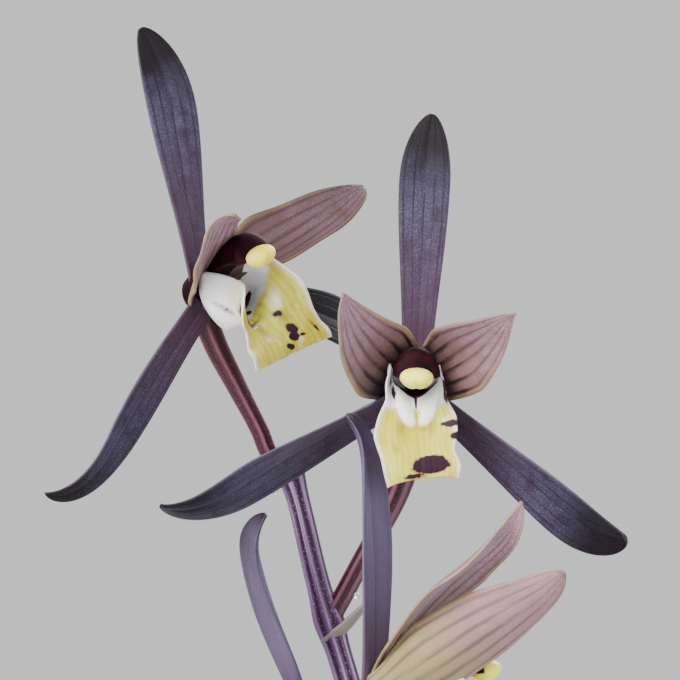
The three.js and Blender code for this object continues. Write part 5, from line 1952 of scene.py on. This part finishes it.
        shares = self.leaf_end * (1 - (1 - np.linspace(0, 1, 110)) ** self.leaf_crowding)
        start = np.array([*shoot.at, self.leaf_start]) + compass(shoot.outward + 90) * spec.offset
        line = centre_line(start, length, directions(np.linspace(0, 1, 121))[0], shares)
        tangent, upper = directions(shares)
        across = np.cross(tangent, upper)
        beyond = np.clip((shares - 0.5) / 0.5, 0, 1)
        taper = (1 - beyond**2.2) ** 0.8
        full = blend(self.leaf_base, width, ramp(shares / 0.42)) * taper
        fold = np.radians(blend(46, 13, ramp(shares / 0.35)))
        aside = np.linspace(-1, 1, 15)[None, :]
        sideways = aside * (full / 2 * np.cos(fold / 2))[:, None]
        keel = np.abs(aside) ** 1.25 - 0.12 * np.abs(aside) ** 6
        wave = 0.5 * np.sin(9 * shares + shoot.seed)[:, None] * aside * np.clip(shares * 3, 0, 1)[:, None]
        raised = keel * (full / 2 * np.sin(fold / 2))[:, None] + wave * (full / width)[:, None]
        rows = line[:, None, :] + sideways[..., None] * across[:, None, :]
        rows = rows + raised[..., None] * upper[:, None, :]
        thickness = (1.0 - 0.55 * np.abs(aside) ** 3) * np.clip(0.55 + full / width, 0, 1)[:, None]
        return sheet(rows, thickness)


@dataclass(frozen=True)
class ClayPot:
    """The pot: thick rim, plain wall, foot with drain holes round a whole middle."""

    height: float = 170.0
    base_radius: float = 58.0
    shoulder_radius: float = 74.0
    rim_radius: float = 80.0
    rim_bottom: float = 148.0
    wall: float = 6.0
    floor: float = 8.0
    lip: float = 2.0
    corner: float = 3.0
    drain_radius: float = 6.0
    drain_ring: float = 30.0
    drain_count: int = 4

    def outer(self, height: float) -> float:
        """Outer radius of the wall at a height."""
        return blend(self.base_radius, self.shoulder_radius, height / self.rim_bottom)

    def inner(self, height: float) -> float:
        """Inner radius at a height."""
        return self.outer(min(height, self.rim_bottom)) - self.wall

    def build(self) -> None:
        """Makes the pot with its holes cut through the floor."""
        tall, lip, rim = self.height, self.lip, self.rim_radius
        inside = self.inner(tall)
        corners = [
            (self.base_radius - lip, 0.0), (self.base_radius, lip),
            (self.shoulder_radius, self.rim_bottom - lip), (rim - lip, self.rim_bottom),
            (rim, self.rim_bottom + lip), (rim, tall - lip), (rim - lip, tall),
            (inside + lip, tall), (inside, tall - lip), (self.inner(self.rim_bottom), self.rim_bottom),
            (self.inner(self.floor), self.floor + self.corner),
            (self.inner(self.floor) - self.corner, self.floor),
        ]
        profile = [(0.001, 0.0), *rounded(corners, 1.1), (0.001, self.floor)]
        rings = [circle(radius, height, round_angles(144)) for radius, height in profile]
        pot = ringed(np.array(rings)).piece("clay_pot", ClayFinish().material())
        cutters = [self._drain(number) for number in range(self.drain_count)]
        for cutter in cutters:
            hole = pot.modifiers.new("drain", "BOOLEAN")
            hole.operation, hole.solver, hole.object = "DIFFERENCE", "EXACT", cutter
        settle(pot)
        pot.data.set_sharp_from_angle(angle=math.radians(50))
        for cutter in cutters:
            bpy.data.objects.remove(cutter)
        keep(pot, Slot.CLAY, "pot")

    def _drain(self, number: int) -> Object:
        """Round cutter for one drain hole."""
        turn = 2 * math.pi * (number + 0.5) / self.drain_count
        middle = self.drain_ring * compass(math.degrees(turn))
        ring = circle(self.drain_radius, 0.0, round_angles(40)) + middle
        return ringed(np.array([ring - (0, 0, 6), ring + (0, 0, 18)])).piece(f"cutter_{number}")


@dataclass(frozen=True)
class PottingMix:
    """Bark mix that fills the pot, with loose chips on its mounded top."""

    pot: ClayPot
    level: float = 157.0
    mound: float = 4.0
    clearance: float = 0.3
    chip_reach: float = 63.0
    fines_dark: Colour = (0.02, 0.01, 0.006)

    def build(self) -> None:
        """Makes the body of the mix and the chips on it."""
        bottom = self.pot.floor + self.clearance
        edge = self.pot.inner(self.level) - self.clearance
        foot = self.pot.inner(bottom) - self.clearance - self.pot.corner
        angle = round_angles(96)
        draw = np.random.default_rng(7)
        rings = [circle(foot * share, bottom, angle) for share in (0.01, 0.5, 1.0)]
        rings += [circle(self.pot.inner(z) - self.clearance, z, angle) for z in (30, 80, 130, self.level - 1)]
        for share in np.linspace(0.99, 0.02, 26):
            bump = draw.uniform(-0.9, 0.9, len(angle)) * (share < 0.97)
            rings.append(circle(edge * share, self.level + self.mound * (1 - share**2) + bump, angle))
        fines = BarkFinish("bark_fines", self.fines_dark).material()
        body = ringed(np.array(rings)).piece("mix_body", fines)
        keep(body, Slot.BARK, "potting_mix")
        top = [circle(self.chip_reach * share, self.level + self.mound * (1 - share**2), angle)
               for share in np.linspace(0.02, 1, 12)]
        guide = ringed(np.array(top)).piece("bark_chips")
        inputs = {
            "Spacing": 0.0042, "Density": 90000.0, "Least": (0.008, 0.005, 0.0025),
            "Most": (0.017, 0.011, 0.0055), "Tip": 0.45, "Roughness": 0.007, "Rough Scale": 170.0, "Seed": 4,
            "Finish": BarkFinish("bark_chip").material(),
        }
        chips = BarkScatter().grow(guide, inputs)
        keep(chips, Slot.BARK)


@dataclass(frozen=True)
class Nectar:
    """Sticky drops on the stem, the stalks and a sepal."""

    places: tuple[Place, ...] = (
        (-8.5, -0.6, 529.6), (2.3, 0.2, 515.6), (3.1, -17.6, 507.0), (4.3, -16.8, 505.4),
    )
    radii: tuple[float, ...] = (0.55, 0.42, 0.4, 0.32)

    def build(self) -> None:
        """Makes the drops."""
        places, radii = np.array(self.places), np.array(self.radii)
        drops = DropScatter().on("nectar_drops", places, radii, NectarFinish().material())
        keep(drops, Slot.SPIKE)


@dataclass(frozen=True)
class Lamp:
    """Soft square light, unseen itself, that faces a height above the pot's middle; metres and watts."""

    name: str
    place: Place
    faces: float
    size: float
    power: float
    colour: Colour

    def build(self) -> None:
        """Makes the light."""
        light = bpy.data.lights.new(self.name, "AREA")
        light.size, light.energy, light.color = self.size, self.power, self.colour
        made = added(self.name, light)
        made.location = self.place
        heading = Vector((0.0, 0.0, self.faces)) - Vector(self.place)
        made.rotation_euler = heading.to_track_quat("-Z", "Y").to_euler()
        made.visible_camera = False


@dataclass(frozen=True)
class Studio:
    """Pale floor, soft lights and the camera in front of the two top flowers."""

    floor_radius: float = 4.8
    floor_drop: float = 0.3
    floor_colour: Colour = (0.82, 0.82, 0.81)
    air: Colour = (0.78, 0.79, 0.80)
    air_strength: float = 1.0
    eye: Place = (0.0, -0.458, 0.550)
    frame_width: float = 0.090
    distance: float = 0.450
    sensor: float = 36.0
    sight: tuple[float, float] = (0.01, 100.0)
    lamps: tuple[Lamp, ...] = (
        Lamp("key", (-0.75, -0.95, 1.35), 0.5, 0.7, 44.0, (1.0, 0.985, 0.96)),
        Lamp("fill", (1.2, -1.1, 0.75), 0.45, 1.1, 17.0, (0.94, 0.97, 1.0)),
        Lamp("rim", (0.55, 1.0, 1.25), 0.5, 0.8, 26.0, (0.96, 0.98, 1.0)),
        Lamp("low", (-0.9, -1.6, 0.35), 0.2, 1.2, 20.0, (1.0, 1.0, 1.0)),
    )

    def build(self) -> None:
        """Makes the studio."""
        self._floor()
        self._world()
        for lamp in self.lamps:
            lamp.build()
        self._camera()

    def _floor(self) -> None:
        """Plain round floor just below the pot."""
        ring = circle(self.floor_radius / MM, 0.0, round_angles(96))
        paint = Paint("studio_floor", Gloss(roughness=0.85, specular=0.2))
        paint.set("Base Color", self.floor_colour)
        rings = np.array([ring * 0.001, ring, ring - (0, 0, 5)])[::-1] - (0, 0, self.floor_drop)
        floor = ringed(rings).piece("floor", paint.material)

    def _world(self) -> None:
        """Even pale surroundings."""
        world = bpy.data.worlds.new("studio_air")
        world.use_nodes = True
        bench = Bench(world.node_tree)
        shader = world.node_tree.nodes["Background"]
        bench.feed(shader.inputs["Color"], self.air)
        bench.feed(shader.inputs["Strength"], self.air_strength)
        bpy.context.scene.world = world

    def _camera(self) -> None:
        """Level camera at flower height that looks along +Y."""
        lens = bpy.data.cameras.new("camera")
        lens.sensor_width = self.sensor
        lens.lens = self.sensor * self.distance / self.frame_width
        lens.clip_start, lens.clip_end = self.sight
        camera = added("camera", lens)
        camera.location = self.eye
        camera.rotation_euler = (math.radians(90), 0.0, 0.0)
        bpy.context.scene.camera = camera


def main() -> None:
    """Builds the plant and its studio in order."""
    logging.basicConfig(level=logging.INFO, format="%(name)s %(message)s")
    tube = RibbedTube()
    pot = ClayPot()
    pot.build()
    PottingMix(pot).build()
    Foliage().build(tube)
    spike = Spike()
    flowers = spike.flowers()
    spike.build(tube, flowers)
    finishes = {
        "sepals": SEPAL_FINISH.material(), "petals": PETAL_FINISH.material(),
        "column": COLUMN_FINISH.material(), "lip": LipFinish().material(),
        "cap": CAP_FINISH.material(), "stalk": PEDICEL_FINISH.material(),
    }
    for flower in flowers:
        Bloom(flower).build(tube, finishes)
    Nectar().build()
    Studio().build()


if __name__ == "__main__":
    main()
